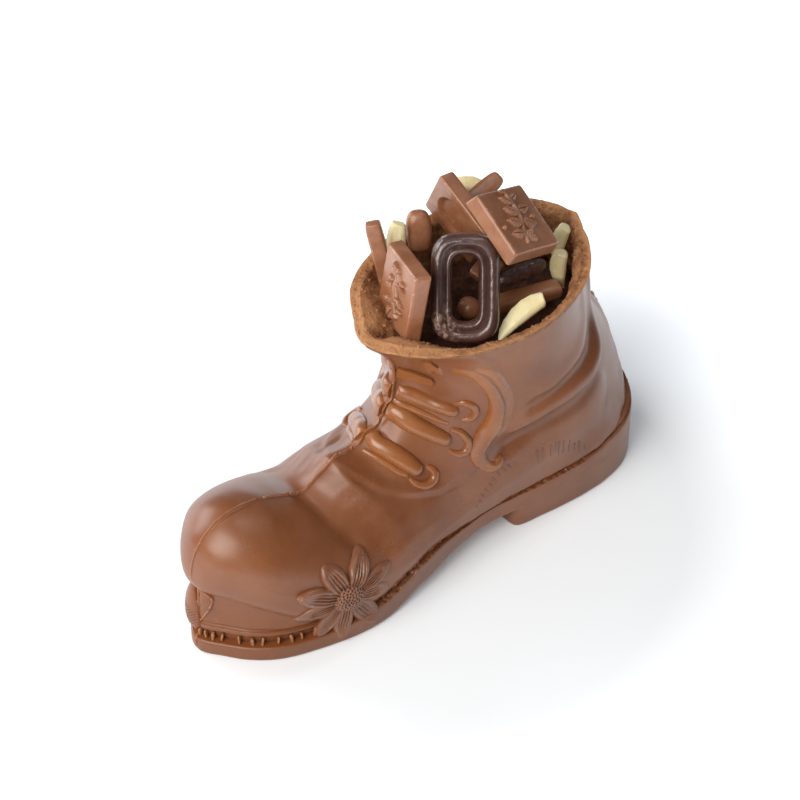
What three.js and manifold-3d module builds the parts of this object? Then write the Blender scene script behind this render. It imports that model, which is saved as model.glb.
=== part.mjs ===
import * as THREE from 'three';
import { mergeVertices } from 'three/addons/utils/BufferGeometryUtils.js';
import Module from 'manifold-3d';

// A hollow moulded chocolate boot, filled with assorted small chocolates.
// Millimetres. X runs from the toe (minus) to the heel (plus), Y across, Z up.
// The side with the flower faces minus Y. The sole stands on Z = 0.

const wasm = await Module();
wasm.setup();

// Driving sizes of the boot
const shellWall = 3.4;
const rimHeight = 96.6;
const heelFront = 24;
const heelHeight = 10;
const laceRadius = 2.4;
const farLaceDepth = 0.6;      // the far laces lie this much deeper back and down
const seamRadius = 1.0;
const petalReach = 16;         // from the middle of the flower to an average petal tip
const petalSpread = 3.6;       // how much further the upper petals reach than the lower ones
const flowerDisc = 5.2;
const petalCount = 10;
const petalSteps = 4;
const tileEdge = 26.1;
const tileThick = 5.5;
const linkLength = 37;
const linkWidth = 23;
const sliverThick = 4.6;
const clearance = 0.5;
const firstPetal = 73 * Math.PI / 180;

// Each station is one slanted section of the upper, from its front seam point
// down to its sole point, or across to its back seam point in the shaft.
// A row gives its name, the front point as x and z, the base point as x and z,
// half its width, where along the section it is widest, and the fullness of its
// front and base ends, 2 being an ellipse.
const stations = [
  ['toe tip', -95.6, 36.0, -95.6, 36.0, 0.0, 0.5, 2.0, 2.0],
  ['toe face', -93.8, 45.0, -94.2, 31.5, 6.6, 0.5, 2.0, 2.6],
  ['toe cap front', -89.0, 52.2, -89.0, 28.5, 13.5, 0.55, 1.9, 3.2],
  ['toe cap crown', -80.0, 56.6, -78.5, 21.0, 22.4, 0.6, 1.85, 4.2],
  ['toe cap back', -69.0, 55.4, -62.0, 11.0, 28.6, 0.65, 1.8, 6.0],
  ['toe cap slope', -58.5, 50.4, -41.0, 9.0, 32.0, 0.7, 1.65, 8.0],
  ['vamp dip', -49.5, 45.8, -22.0, 11.5, 31.0, 0.75, 1.5, 9.0],
  ['vamp', -40.0, 46.0, -5.0, 12.5, 29.4, 0.75, 1.45, 9.0],
  ['lower instep', -30.0, 47.2, 13.0, 12.5, 28.9, 0.72, 1.45, 9.0],
  ['instep', -20.5, 50.4, 34.0, 12.5, 30.2, 0.68, 1.5, 9.0],
  ['upper instep', -12.5, 56.2, 58.0, 12.5, 32.0, 0.64, 1.6, 8.0],
  ['throat', -7.8, 62.8, 82.0, 13.0, 33.0, 0.6, 1.7, 5.0],
  ['ankle', -6.0, 70.0, 93.0, 23.0, 33.0, 0.52, 1.8, 2.8],
  ['low shaft', -6.3, 77.5, 91.5, 46.0, 32.7, 0.48, 1.85, 2.1],
  ['shaft', -8.5, 84.5, 82.5, 67.0, 32.3, 0.48, 1.85, 1.9],
  ['high shaft', -13.0, 91.0, 79.0, 83.0, 32.8, 0.5, 1.8, 1.8],
  ['collar', -19.8, 96.6, 77.6, 96.9, 33.2, 0.5, 1.75, 1.75],
].map(([name, frontX, frontZ, baseX, baseZ, half, middle, frontFull, baseFull]) => ({
  name, front: [frontX, frontZ], base: [baseX, baseZ], half, middle, frontFull, baseFull,
}));

// Half the plan of the sole, from the toe round to the back of the heel
const soleHalf = [
  [-95.4, 0], [-94.6, 3.4], [-91.4, 8.0], [-85.0, 16.2], [-76.5, 22.9], [-66.0, 27.3], [-53.0, 31.2],
  [-39.6, 32.9], [-20.0, 31.6], [0.0, 28.9], [15.0, 28.7], [32.0, 31.8], [51.0, 34.4],
  [66.0, 34.4], [78.0, 31.0], [88.0, 22.0], [93.6, 11.0], [95.4, 0],
];

// Heights along the sole: its underside, its smooth side and its welt
const underside = [[-96, 0], [-50, 0], [-38, 0.6], [-20, 6], [-5, 8.6], [10, 9.8], [30, 10], [96, 10]];
const sideTop = [[-96, 6.2], [-62, 6.2], [-48, 9], [-36, 13], [0, 14], [30, 15], [60, 17], [96, 20]];
const weltTop = [
  [-96, 13], [-62, 12.6], [-48, 13.4], [-36, 15], [0, 15.6], [30, 16.6], [60, 18.6], [96, 21.6],
];

// Soft swellings and hollows of the upper, as lines in the side view, x and z.
// rise is how far each stands out, and spread is how wide it is.
const swells = [
  { name: 'dip behind the cap', rise: -2.0, spread: 6, line: [[-43, 44], [-36, 41], [-31, 36], [-22, 31]] },
  { name: 'back corner of the toe cap', rise: 1.5, spread: 8, line: [[-42, 29], [-31, 25]] },
  { name: 'ankle hollow', rise: -1.5, spread: 4, line: [[20, 43], [35, 47], [52, 48], [68, 53], [82, 63]] },
  { name: 'ankle fold', rise: 1.2, spread: 4, line: [[23, 51], [37, 56], [55, 57.5], [67, 63], [77, 75]] },
  { name: 'heel swelling', rise: 1.0, spread: 7, line: [[40, 36], [58, 37], [74, 42], [88, 50]] },
];

// Lace rows on the near side, from the seam outwards, and the loose lace end
const laceRows = [
  { from: [-7.2, 0, 79.5], bend: [-4.4, 9.2, 80.2], to: [-0.2, 15.0, 77.6], ring: false },
  { from: [-6.8, 0, 69.8], bend: [-0.6, 12.9, 68.9], to: [8.1, 20.8, 62.9], ring: true },
  { from: [-10.4, 0, 60.4], bend: [-3.2, 12.4, 56.9], to: [5.4, 20.6, 50.0], ring: true },
  { from: [-19.6, 0, 51.4], bend: [-14.8, 10.3, 48.0], to: [-8.0, 19.2, 41.2], ring: true },
];
const looseLace = [
  [-1.8, 16.6, 84.8], [7.1, 23.6, 81.8], [13.3, 26.2, 74.4], [17.3, 27.2, 65.7],
  [16.2, 26.2, 58.0], [12.6, 24.6, 50.0], [9.8, 24.4, 44.0],
];
const looseCurl = [[8.6, 25.0, 40.6], [12.4, 27.2, 40.4], [15.6, 28.2, 39.0], [13.6, 28.4, 36.4]];

// One number at a fractional place in a list, on a smooth curve through it
function smoothAt(values, t) {
  const last = values.length - 1;
  const i = Math.min(Math.floor(t), last - 1);
  const u = t - i;
  const a = values[Math.max(i - 1, 0)];
  const b = values[i];
  const c = values[i + 1];
  const d = values[Math.min(i + 2, last)];
  return 0.5 * (2 * b + (c - a) * u + (2 * a - 5 * b + 4 * c - d) * u * u
    + (3 * b - a - 3 * c + d) * u * u * u);
}

// The height at x on a line of [x, height] points
function heightAt(line, x) {
  const k = line.findIndex((p) => p[0] > x);
  if (k <= 0) return k === 0 ? line[0][1] : line[line.length - 1][1];
  const share = (x - line[k - 1][0]) / (line[k][0] - line[k - 1][0]);
  return THREE.MathUtils.lerp(line[k - 1][1], line[k][1], THREE.MathUtils.smoothstep(share, 0, 1));
}

function stationAt(t) {
  const read = (pick) => smoothAt(stations.map(pick), t);
  return {
    front: [read((s) => s.front[0]), read((s) => s.front[1])],
    base: [read((s) => s.base[0]), read((s) => s.base[1])],
    half: read((s) => s.half),
    middle: read((s) => s.middle),
    frontFull: read((s) => s.frontFull),
    baseFull: read((s) => s.baseFull),
  };
}

// The same station drawn in by the thickness of the shell
function inset(s, by) {
  const length = Math.hypot(s.base[0] - s.front[0], s.base[1] - s.front[1]);
  const dx = ((s.base[0] - s.front[0]) / length) * by;
  const dz = ((s.base[1] - s.front[1]) / length) * by;
  return {
    ...s,
    front: [s.front[0] + dx, s.front[1] + dz],
    base: [s.base[0] - dx, s.base[1] - dz],
    half: s.half - by,
  };
}

// Half of one section, from its front point to its base point, at even steps
function halfSection(s, steps) {
  const fine = 160;
  const pts = [];
  for (let k = 0; k <= fine; k++) {
    const angle = (Math.PI * k) / fine;
    const c = Math.cos(angle);
    const full = c >= 0 ? s.frontFull : s.baseFull;
    const reach = Math.sign(c) * Math.abs(c) ** (2 / full);
    const width = s.half * Math.abs(Math.sin(angle)) ** (2 / full);
    const along = c >= 0 ? s.middle * (1 - reach) : s.middle - (1 - s.middle) * reach;
    pts.push(new THREE.Vector3(
      s.front[0] + (s.base[0] - s.front[0]) * along,
      width,
      s.front[1] + (s.base[1] - s.front[1]) * along));
  }
  const reached = [0];
  for (let k = 1; k <= fine; k++) reached.push(reached[k - 1] + pts[k].distanceTo(pts[k - 1]));
  const even = [];
  let k = 0;
  for (let j = 0; j <= steps; j++) {
    const want = (reached[fine] * j) / steps;
    while (k < fine - 1 && reached[k + 1] < want) k++;
    const span = reached[k + 1] - reached[k];
    even.push(pts[k].clone().lerp(pts[k + 1], span > 0 ? (want - reached[k]) / span : 0));
  }
  return even;
}

// Triangles across a ring that is its own mirror image in Y, in strips from side
// to side, so that the face between bends only along the shoe
function acrossRing(ring) {
  const partner = ring.map((p) => ring.findIndex((q) => q.x === p.x && q.y === -p.y));
  const triangles = [];
  for (let j = 0; j < ring.length; j++) {
    const next = (j + 1) % ring.length;
    if (ring[j].y > 0 || ring[next].y > 0 || partner[j] === next) continue;
    if (partner[j] !== j) triangles.push([next, j, partner[j]]);
    if (partner[next] !== next) triangles.push([next, partner[j], partner[next]]);
  }
  return triangles;
}

// A closed skin over rings of points, each ring running the same way round.
// Its ends close on pole points, or straight across where there is no pole.
function skin(rings, startPole, endPole) {
  const columns = rings[0].length;
  const last = rings.length - 1;
  const positions = [];
  const index = [];
  const at = (i, j) => i * columns + (j % columns);
  rings.forEach((ring) => ring.forEach((p) => positions.push(p.x, p.y, p.z)));
  for (let i = 0; i < last; i++) {
    for (let j = 0; j < columns; j++) {
      index.push(at(i, j), at(i + 1, j + 1), at(i + 1, j));
      index.push(at(i, j), at(i, j + 1), at(i + 1, j + 1));
    }
  }
  const close = (i, pole, order) => {
    if (!pole) {
      acrossRing(rings[i]).forEach((t) => index.push(...order(t).map((j) => at(i, j))));
      return;
    }
    const tip = positions.length / 3;
    positions.push(pole.x, pole.y, pole.z);
    for (let j = 0; j < columns; j++) index.push(...order([at(i, j + 1), at(i, j), tip]));
  };
  close(0, startPole, (t) => t);
  close(last, endPole, ([a, b, c]) => [b, a, c]);
  const g = new THREE.BufferGeometry();
  g.setAttribute('position', new THREE.Float32BufferAttribute(positions, 3));
  g.setIndex(index);
  g.computeVertexNormals();
  return g;
}

function middleOf(ring) {
  return ring.reduce((sum, p) => sum.add(p), new THREE.Vector3()).multiplyScalar(1 / ring.length);
}

// The full ring of a section, the near side first
function ringOf(s, columns) {
  const half = columns / 2;
  const side = halfSection(s, half);
  const ring = [];
  for (let j = 0; j < columns; j++) {
    const p = j <= half ? side[j] : side[columns - j];
    ring.push(new THREE.Vector3(p.x, j <= half ? -p.y : p.y, p.z));
  }
  return ring;
}

function distanceToLine(x, z, line) {
  let best = Infinity;
  for (let k = 0; k + 1 < line.length; k++) {
    const [ax, az] = line[k];
    const [bx, bz] = line[k + 1];
    const run = (bx - ax) ** 2 + (bz - az) ** 2;
    const share = THREE.MathUtils.clamp(((x - ax) * (bx - ax) + (z - az) * (bz - az)) / run, 0, 1);
    best = Math.min(best, Math.hypot(x - ax - share * (bx - ax), z - az - share * (bz - az)));
  }
  return best;
}

// How far the soft swellings and hollows lift a point of the upper
function swellAt(x, z) {
  const lift = ({ line, rise, spread }) => rise * Math.exp(-((distanceToLine(x, z, line) / spread) ** 2));
  return swells.reduce((sum, s) => sum + lift(s), 0);
}

function upperSkin(rows, columns) {
  const last = stations.length - 1;
  const rings = [];
  for (let i = 1; i <= rows; i++) rings.push(ringOf(stationAt((last * i) / rows), columns));
  const tip = stations[0];
  const top = stations[last];
  const tipPole = new THREE.Vector3(tip.front[0], 0, tip.front[1]);
  const topPole = new THREE.Vector3((top.front[0] + top.base[0]) / 2, 0, (top.front[1] + top.base[1]) / 2);
  const g = skin(rings, tipPole, topPole);
  const p = g.attributes.position;
  const n = g.attributes.normal;
  for (let v = 0; v < p.count; v++) {
    const lift = p.getZ(v) > rimHeight - 2 ? 0 : swellAt(p.getX(v), p.getZ(v));
    p.setXYZ(v, p.getX(v) + n.getX(v) * lift, p.getY(v) + n.getY(v) * lift, p.getZ(v) + n.getZ(v) * lift);
  }
  return g;
}

// The hollow inside, which runs on above the collar so that it cuts it open
function hollow(rows, columns, margin = shellWall, first = 1.5) {
  const last = stations.length - 1;
  const rings = [];
  for (let i = 0; i <= rows; i++) {
    rings.push(ringOf(inset(stationAt(first + ((last - first) * i) / rows), margin), columns));
  }
  const above = rings[rows].map((p) => new THREE.Vector3(p.x, p.y, p.z + 10));
  rings.push(above);
  return skin(rings, middleOf(rings[0]), middleOf(above));
}

// The closed plan of the sole, near side first, with its outward direction
function soleOutline(count) {
  const near = soleHalf.map(([x, w]) => new THREE.Vector3(x, -w, 0));
  const far = soleHalf.slice(1, -1).reverse().map(([x, w]) => new THREE.Vector3(x, w, 0));
  const curve = new THREE.CatmullRomCurve3([...near, ...far], true, 'centripetal');
  const half = count / 2;
  const pts = [];
  for (let k = 0; k <= half; k++) {
    const tangent = curve.getTangentAt(k / count);
    const out = new THREE.Vector3(tangent.y, k % half ? -tangent.x : 0, 0).normalize();
    const spot = curve.getPointAt(k / count);
    pts.push({ spot: new THREE.Vector3(spot.x, k % half ? spot.y : 0, 0), out });
  }
  const flip = (v) => new THREE.Vector3(v.x, -v.y, v.z);
  for (let k = half - 1; k > 0; k--) pts.push({ spot: flip(pts[k].spot), out: flip(pts[k].out) });
  return pts;
}

function levelRing(outline, margin, height) {
  return outline.map(({ spot, out }) => {
    const p = spot.clone().addScaledVector(out, -margin);
    p.z = typeof height === 'number' ? height : heightAt(height, p.x);
    return p;
  });
}

function raised(line, by) {
  return line.map(([x, h]) => [x, h + by]);
}

function soleSkin() {
  const outline = soleOutline(64);
  const rings = [
    levelRing(outline, 0.8, underside),
    levelRing(outline, 0, raised(underside, 0.9)),
    levelRing(outline, 0, sideTop),
    levelRing(outline, 0.9, raised(sideTop, 0.6)),
    levelRing(outline, 1.6, weltTop),
    levelRing(outline, 4, raised(weltTop, 0.3)),
  ];
  return skin(rings);
}

// A prism or tapered block over rings made from the part of the sole's plan
// between two places along the shoe
function soleBlock(fromX, toX, levels) {
  const outline = soleOutline(64).filter(({ spot }) => spot.x >= fromX && spot.x <= toX);
  const rings = levels.map(([margin, height]) => levelRing(outline, margin, height));
  return skin(rings);
}

// The heel block under the back of the sole
const heelSkin = () => soleBlock(heelFront, 96, [[0.8, 0], [0, 0.9], [0, heelHeight + 1]]);

// The recessed band that shows in the gap between the toe cap and the sole
const bandTop = [[-96, 36], [-84, 33], [-72, 24], [-60, 16]];
const bandLevels = [0, 0.12, 0.35, 0.6, 0.8, 1];
const bandInsets = [1.7, 2.0, 2.7, 2.9, 2.6, 3.2];
const toeBandSkin = () => soleBlock(-96, -60, bandLevels.map((share, k) => [
  bandInsets[k], bandTop.map(([x, z]) => [x, THREE.MathUtils.lerp(11, z, share)])]));

// A round ridge along a line of points, with round ends
function ridge(points, radius, sides = 8, steps = 12, taper = () => 1) {
  const curve = new THREE.CatmullRomCurve3(points.map((p) => new THREE.Vector3(...p)), false, 'centripetal');
  const frames = curve.computeFrenetFrames(steps, false);
  const rings = [];
  const ringAt = (place, k, size) => {
    const ring = [];
    for (let j = 0; j < sides; j++) {
      const angle = (2 * Math.PI * j) / sides;
      ring.push(place.clone()
        .addScaledVector(frames.normals[k], size * Math.cos(angle))
        .addScaledVector(frames.binormals[k], size * Math.sin(angle)));
    }
    return ring;
  };
  for (let k = 0; k <= steps; k++) {
    rings.push(ringAt(curve.getPointAt(k / steps), k, radius * taper(k / steps)));
  }
  const start = curve.getPointAt(0);
  const end = curve.getPointAt(1);
  const startOut = frames.tangents[0].clone().multiplyScalar(-radius * taper(0));
  const endOut = frames.tangents[steps].clone().multiplyScalar(radius * taper(1));
  rings.unshift(ringAt(start.clone().addScaledVector(startOut, 0.7), 0, radius * taper(0) * 0.7));
  rings.push(ringAt(end.clone().addScaledVector(endOut, 0.7), steps, radius * taper(1) * 0.7));
  return skin(rings, start.clone().add(startOut), end.clone().add(endOut));
}

const milk = new THREE.MeshStandardMaterial({ color: 0x845237, roughness: 0.45, metalness: 0 });
const darkChocolate = new THREE.MeshStandardMaterial({ color: 0x3a211c, roughness: 0.35, metalness: 0 });
const whiteChocolate = new THREE.MeshStandardMaterial({ color: 0xe9dca0, roughness: 0.5, metalness: 0 });

function solidOf(geometry) {
  const g = geometry.clone();
  g.deleteAttribute('normal');
  g.deleteAttribute('uv');
  const m = mergeVertices(g, 1e-4);
  return new wasm.Manifold(new wasm.Mesh({
    numProp: 3,
    vertProperties: new Float32Array(m.attributes.position.array),
    triVerts: new Uint32Array(m.index.array),
  }));
}

function geometryOf(solid) {
  const mesh = solid.getMesh();
  const g = new THREE.BufferGeometry();
  g.setAttribute('position', new THREE.BufferAttribute(mesh.vertProperties, 3));
  g.setIndex(new THREE.BufferAttribute(mesh.triVerts, 1));
  return g;
}

// All laces of one side, side -1 being the near one
function laceSolids(side) {
  const deeper = side > 0 ? farLaceDepth : 0;
  const put = ([x, y, z]) => [x + deeper, y * side, z - deeper];
  const solids = [];
  for (const lace of laceRows) {
    solids.push(ridge([lace.from, lace.bend, lace.to].map(put), laceRadius, 6, 4));
    if (lace.ring) {
      const ring = new THREE.TorusGeometry(3.6, 1.2, 4, 9);
      ring.lookAt(new THREE.Vector3(-0.35, 0.8 * side, 0.3));
      ring.translate(...put(lace.to));
      solids.push(ring);
    }
  }
  const thinner = (t) => 0.75 + 0.35 * t;
  solids.push(ridge(looseLace.map(put), laceRadius, 6, 11, thinner));
  solids.push(ridge(looseCurl.map(put), 1.3, 4, 4));
  return solids;
}

// The thin flash along the front seam, from the lip of the toe cap to the throat
function seamFlash() {
  const first = 0.35;
  const last = 13.6;
  const steps = 28;
  const points = [];
  for (let k = 0; k <= steps; k++) {
    const s = stationAt(first + ((last - first) * k) / steps);
    points.push([s.front[0] - 0.5, 0, s.front[1] + 0.5]);
  }
  return ridge(points, seamRadius, 4, steps);
}

// Where a ray from outside first meets a surface
function landing(target, from, towards) {
  const ray = new THREE.Raycaster(from, towards);
  const hit = ray.intersectObject(target)[0];
  return hit ? hit.point : null;
}

// The flower: a domed disc with pointed petals, laid on the side of the boot
const flowerCentre = new THREE.Vector3(-52, -31.5, 19.8);
const flowerFace = new THREE.Vector3(-0.25, -0.876, 0.412).normalize();

function flowerSolids(target) {
  const across = new THREE.Vector3(0, 0, 1).cross(flowerFace).normalize();
  const up = flowerFace.clone().cross(across);
  const drape = (u, v, height) => {
    const above = flowerCentre.clone().addScaledVector(flowerFace, 30)
      .addScaledVector(across, u).addScaledVector(up, v);
    const hit = landing(target, above, flowerFace.clone().negate());
    const flat = above.clone().addScaledVector(flowerFace, -30);
    const p = hit && hit.distanceTo(flat) < 9 ? hit : flat;
    return p.addScaledVector(flowerFace, height);
  };
  const solids = [];
  for (let k = 0; k < petalCount; k++) {
    const turn = firstPetal + (2 * Math.PI * k) / petalCount;
    const long = petalReach + petalSpread * Math.cos(turn - 2.2);
    const rings = [];
    for (let i = 0; i <= petalSteps; i++) {
      const share = i / petalSteps;
      const reach = THREE.MathUtils.lerp(flowerDisc * 0.6, long, share);
      const wide = 4.5 * Math.sin(Math.PI * (0.15 + 0.77 * share)) + 0.15;
      const ring = [];
      for (const [w, h] of [[0, 1.3], [0.8, 2.1], [1, -1.0], [-1, -1.0], [-0.8, 2.1]]) {
        const u = Math.cos(turn) * reach - Math.sin(turn) * w * wide;
        const v = Math.sin(turn) * reach + Math.cos(turn) * w * wide;
        ring.push(drape(u, v, h * (1 - 0.35 * share)));
      }
      rings.push(ring);
    }
    solids.push(skin(rings.map((r) => r.reverse()), middleOf(rings[0]), middleOf(rings[petalSteps])));
  }
  const disc = new THREE.SphereGeometry(flowerDisc, 12, 6);
  disc.scale(1, 1, 0.5);
  disc.lookAt(flowerFace);
  const hub = drape(0, 0, 0.8);
  disc.translate(hub.x, hub.y, hub.z);
  solids.push(disc);
  return solids;
}

// Short upright stitches along the welt of the toe
function stitchSolids() {
  const outline = soleOutline(132);
  const solids = [];
  outline.forEach(({ spot, out }, k) => {
    if (spot.x > -66 || k % 2 || Math.abs(spot.y) < 3) return;
    const stitch = new THREE.BoxGeometry(1.1, 2.2, 4.6);
    stitch.rotateZ(Math.atan2(out.y, out.x) + Math.PI / 2);
    const p = spot.clone().addScaledVector(out, -1.6);
    stitch.translate(p.x, p.y, 9.6);
    solids.push(stitch);
  });
  return solids;
}

// The turned-out lip of the far half at the very front, and the little flap
function toeTrim() {
  const lip = new THREE.SphereGeometry(1, 10, 7);
  lip.scale(3.4, 6.0, 10.5);
  lip.rotateZ(-0.5);
  lip.translate(-92.8, 5.4, 18.5);
  const corners = [[0, 6.5], [5.4, 3.4], [6.4, 0.6], [1.8, -6.5], [-0.4, 0]];
  const flap = new THREE.Shape(corners.map((p) => new THREE.Vector2(...p)));
  const plate = new THREE.ExtrudeGeometry(flap, { depth: 2.4, bevelEnabled: false });
  plate.rotateX(Math.PI / 2);
  plate.rotateZ(-1.15);
  plate.translate(-95.4, -0.4, 22.5);
  return [lip, plate];
}

const largest = (solid) => solid.decompose().sort((a, b) => b.volume() - a.volume())[0];
const joined = (geometries, start) => geometries.reduce((sum, g) => sum.add(solidOf(g)), start);

const plain = joined([soleSkin(), heelSkin(), toeBandSkin()], solidOf(upperSkin(42, 34)));
const plainSurface = new THREE.Mesh(geometryOf(plain), milk);
const relief = [
  seamFlash(), ...laceSolids(-1), ...laceSolids(1), ...flowerSolids(plainSurface),
  ...stitchSolids(), ...toeTrim(),
];
const bootSolid = largest(joined(relief, plain).subtract(solidOf(hollow(18, 24))));

// Places a shape so that its flat top faces one way and its length runs another
function place(geometry, centre, face, along) {
  const z = new THREE.Vector3(...face).normalize();
  const x = new THREE.Vector3(...along).addScaledVector(z, -new THREE.Vector3(...along).dot(z)).normalize();
  const turn = new THREE.Matrix4().makeBasis(x, z.clone().cross(x), z);
  geometry.applyMatrix4(turn.setPosition(...centre));
  return geometry;
}

// A slab with slanting sides, centred on the origin, wider below than on top
function slab(length, width, thick, slant = 0.8) {
  const g = new THREE.BoxGeometry(length, width, thick);
  const p = g.attributes.position;
  for (let v = 0; v < p.count; v++) {
    if (p.getZ(v) < 0) continue;
    p.setXY(v, p.getX(v) - Math.sign(p.getX(v)) * slant, p.getY(v) - Math.sign(p.getY(v)) * slant);
  }
  return g;
}

// A flat shape of the given outline with a bevelled edge, centred on the origin
function plateOf(shape, thick, bevel, curveSegments = 2) {
  const g = new THREE.ExtrudeGeometry(shape, {
    depth: thick - 2 * bevel, bevelThickness: bevel, bevelSize: bevel, bevelOffset: -bevel,
    bevelSegments: 1, curveSegments, steps: 1,
  });
  g.translate(0, 0, bevel - thick / 2);
  return g;
}

// A rectangle with round corners, as a shape or as the path of a hole
function roundedBox(length, width, corner, path = new THREE.Shape()) {
  const x = length / 2 - corner;
  const y = width / 2 - corner;
  const quarter = Math.PI / 2;
  path.absarc(x, -y, corner, -quarter, 0, false);
  path.absarc(x, y, corner, 0, quarter, false);
  path.absarc(-x, y, corner, quarter, 2 * quarter, false);
  path.absarc(-x, -y, corner, 2 * quarter, 3 * quarter, false);
  return path;
}

// A sliver of white chocolate: a straight back, a bowed belly and a cut end
function sliverShape(length, width) {
  const shape = new THREE.Shape();
  shape.moveTo(-length / 2, -width * 0.35);
  shape.lineTo(length * 0.42, -width / 2);
  shape.lineTo(length / 2, width * 0.15);
  shape.quadraticCurveTo(length * 0.2, width * 0.75, -length * 0.35, width * 0.05);
  return shape;
}

// A leafy sprig in low relief, lying along X on the plane Z = 0
function sprig(length, leaves) {
  const parts = [new THREE.BoxGeometry(length, 1.2, 2.0)];
  for (let k = 0; k < leaves; k++) {
    const leaf = new THREE.SphereGeometry(1, 8, 5);
    leaf.scale(3.3 - 0.3 * k, 1.6, 1.3);
    leaf.translate(2.4, 0, 0);
    leaf.rotateZ(k % 2 ? -0.85 : 0.85);
    leaf.translate(-length / 2 + ((k + 0.6) * length) / (leaves + 0.3), 0, 0);
    parts.push(leaf);
  }
  return parts;
}

function reliefTile(sprigTurn) {
  const leaves = sprig(15, 4).map((g) => g.rotateZ(sprigTurn).translate(0, 0, tileThick / 2));
  return geometryOf(joined(leaves, solidOf(slab(tileEdge, tileEdge, tileThick))));
}

// A tile lying face down: its moulded back has a shallow dish
function dishedTile() {
  const dish = new THREE.SphereGeometry(1, 14, 8).scale(9, 9, 1.4).translate(0, 0, tileThick / 2);
  return geometryOf(solidOf(slab(tileEdge, tileEdge, tileThick, -0.8)).subtract(solidOf(dish)));
}

// An oblong link of dark chocolate with a double bead round its hole
function linkPlate() {
  const shape = roundedBox(linkLength, linkWidth, 9.5);
  shape.holes.push(roundedBox(linkLength - 14.4, linkWidth - 14.2, 4, new THREE.Path()));
  return plateOf(shape, 7, 1.6, 4);
}

// The bars that show, from end to end, with their sections and facings
const bars = [
  { name: 'milk_baton_left', from: [10.6, 21.2, 91], to: [7.6, 25.5, 115.3],
    section: [5.6, 4.6], face: [-0.66, -0.75, 0.2] },
  { name: 'milk_oval', from: [26.0, 23.4, 96], to: [25.0, 23.9, 111.5],
    section: [9, 7], face: [-0.66, -0.75, 0.3] },
  { name: 'milk_baton_back', from: [44.18, 21.82, 104.22], to: [59.18, 19.82, 112.72],
    section: [6.5, 5], face: [-0.2, -0.5, 1] },
  { name: 'dark_drop', from: [38, -3, 91], to: [57.5, -5.35, 90],
    section: [6, 5.6], face: [0, 0, 1], dark: true },
  { name: 'milk_bar_low', from: [33, -5, 84], to: [57.5, -13.6, 84.6],
    section: [7, 6], face: [0, 0, 1] },
];

// The white slivers, by their middles, lengths, facings and sizes
const slivers = [
  { name: 'white_sliver_left', middle: [15.9, 24.4, 100], along: [0.04, 0.14, 1],
    size: [22, 8.5], face: [-0.66, -0.75, 0.3] },
  { name: 'white_sliver_back', middle: [51.86, 29.94, 106.25], along: [1, 0.2, -0.9],
    size: [15, 7.6], face: [-0.5, -0.5, 0.7] },
  { name: 'white_sliver_right', middle: [65.5, -2.9, 92.1], along: [0.05, -0.2, 1],
    size: [17, 7], face: [-0.66, -0.75, 0.1] },
  { name: 'white_sliver_low', middle: [60.44, -8.55, 87.27], along: [-0.1, -0.1, 1],
    size: [16, 7.5], face: [-0.66, -0.75, 0.1] },
  { name: 'white_sliver_front', middle: [32, -19.2, 91], along: [1, -0.1, 0.42],
    size: [22.5, 8.5], face: [-0.35, -0.55, 0.75] },
];

function barGeometry({ from, to, section: [wide, thick], face }) {
  const a = new THREE.Vector3(...from);
  const b = new THREE.Vector3(...to);
  const along = b.clone().sub(a);
  const plate = plateOf(roundedBox(along.length(), wide, wide * 0.45), thick, thick * 0.26);
  return place(plate, a.add(b).multiplyScalar(0.5).toArray(), face, along.toArray());
}

function sliverGeometry({ middle, along, size, face }) {
  return place(plateOf(sliverShape(...size), sliverThick, 0.9), middle, face, along);
}

const tileFront = place(reliefTile(0), [2.65, 5.24, 102.24], [-0.911, 0.344, 0.229], [0.27, 0.076, 0.96]);
const tileTop = place(reliefTile(0.9), [43.06, -4.25, 115.45], [0.391, -0.425, 0.816], [0.917, 0.104, -0.385]);
const tileBack = place(dishedTile(), [38.46, 16.84, 107.29], [-0.989, 0.06, -0.136], [0.008, -0.891, -0.454]);
const link = place(linkPlate(), [19.52, -6.62, 101.92], [-0.537, -0.618, 0.574], [0.376, 0.433, 0.819]);

const fillings = [
  ['milk_tile_front', tileFront, milk],
  ['milk_tile_top', tileTop, milk],
  ['milk_tile_back', tileBack, milk],
  ['dark_link', link, darkChocolate],
  ['milk_ball', new THREE.SphereGeometry(4.2, 12, 8).translate(26.8, -0.8, 84.4), milk],
  ['milk_chip', place(slab(11, 9, 4), [43, 8, 86.3], [-0.12, -0.14, 0.98], [0.98, 0.15, 0.14]), milk],
  ...bars.map((b) => [b.name, barGeometry(b), b.dark ? darkChocolate : milk]),
  ...slivers.map((b) => [b.name, sliverGeometry(b), whiteChocolate]),
].map(([name, geometry, material]) => ({ name, geometry, material }));

// The chocolates below, as one heap with an uneven top that the others rest on
const heapTop = (x, y) => 78.8 + 5.5 * Math.exp(-(((x - 44) / 20) ** 2) - (((y - 12) / 13) ** 2))
  + Math.sin(x * 0.55) * Math.cos(y * 0.5);

const clearanceWays = [[0, 0, -1], [0, 0, 1], [1, 0, 0], [-1, 0, 0], [0, 1, 0], [0, -1, 0]];

function heapSolid() {
  const lid = new THREE.BoxGeometry(180, 90, 100, 16, 8, 1).translate(12, 0, 0);
  const p = lid.attributes.position;
  for (let v = 0; v < p.count; v++) {
    p.setZ(v, p.getZ(v) > 0 ? heapTop(p.getX(v), p.getY(v)) : 10);
  }
  let heap = solidOf(hollow(14, 16, shellWall + 3)).intersect(solidOf(lid));
  for (const { geometry } of fillings) {
    for (const way of clearanceWays) {
      const [x, y, z] = way.map((w) => w * clearance);
      heap = heap.subtract(solidOf(geometry.clone().translate(x, y, z)));
    }
  }
  return largest(heap);
}

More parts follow.
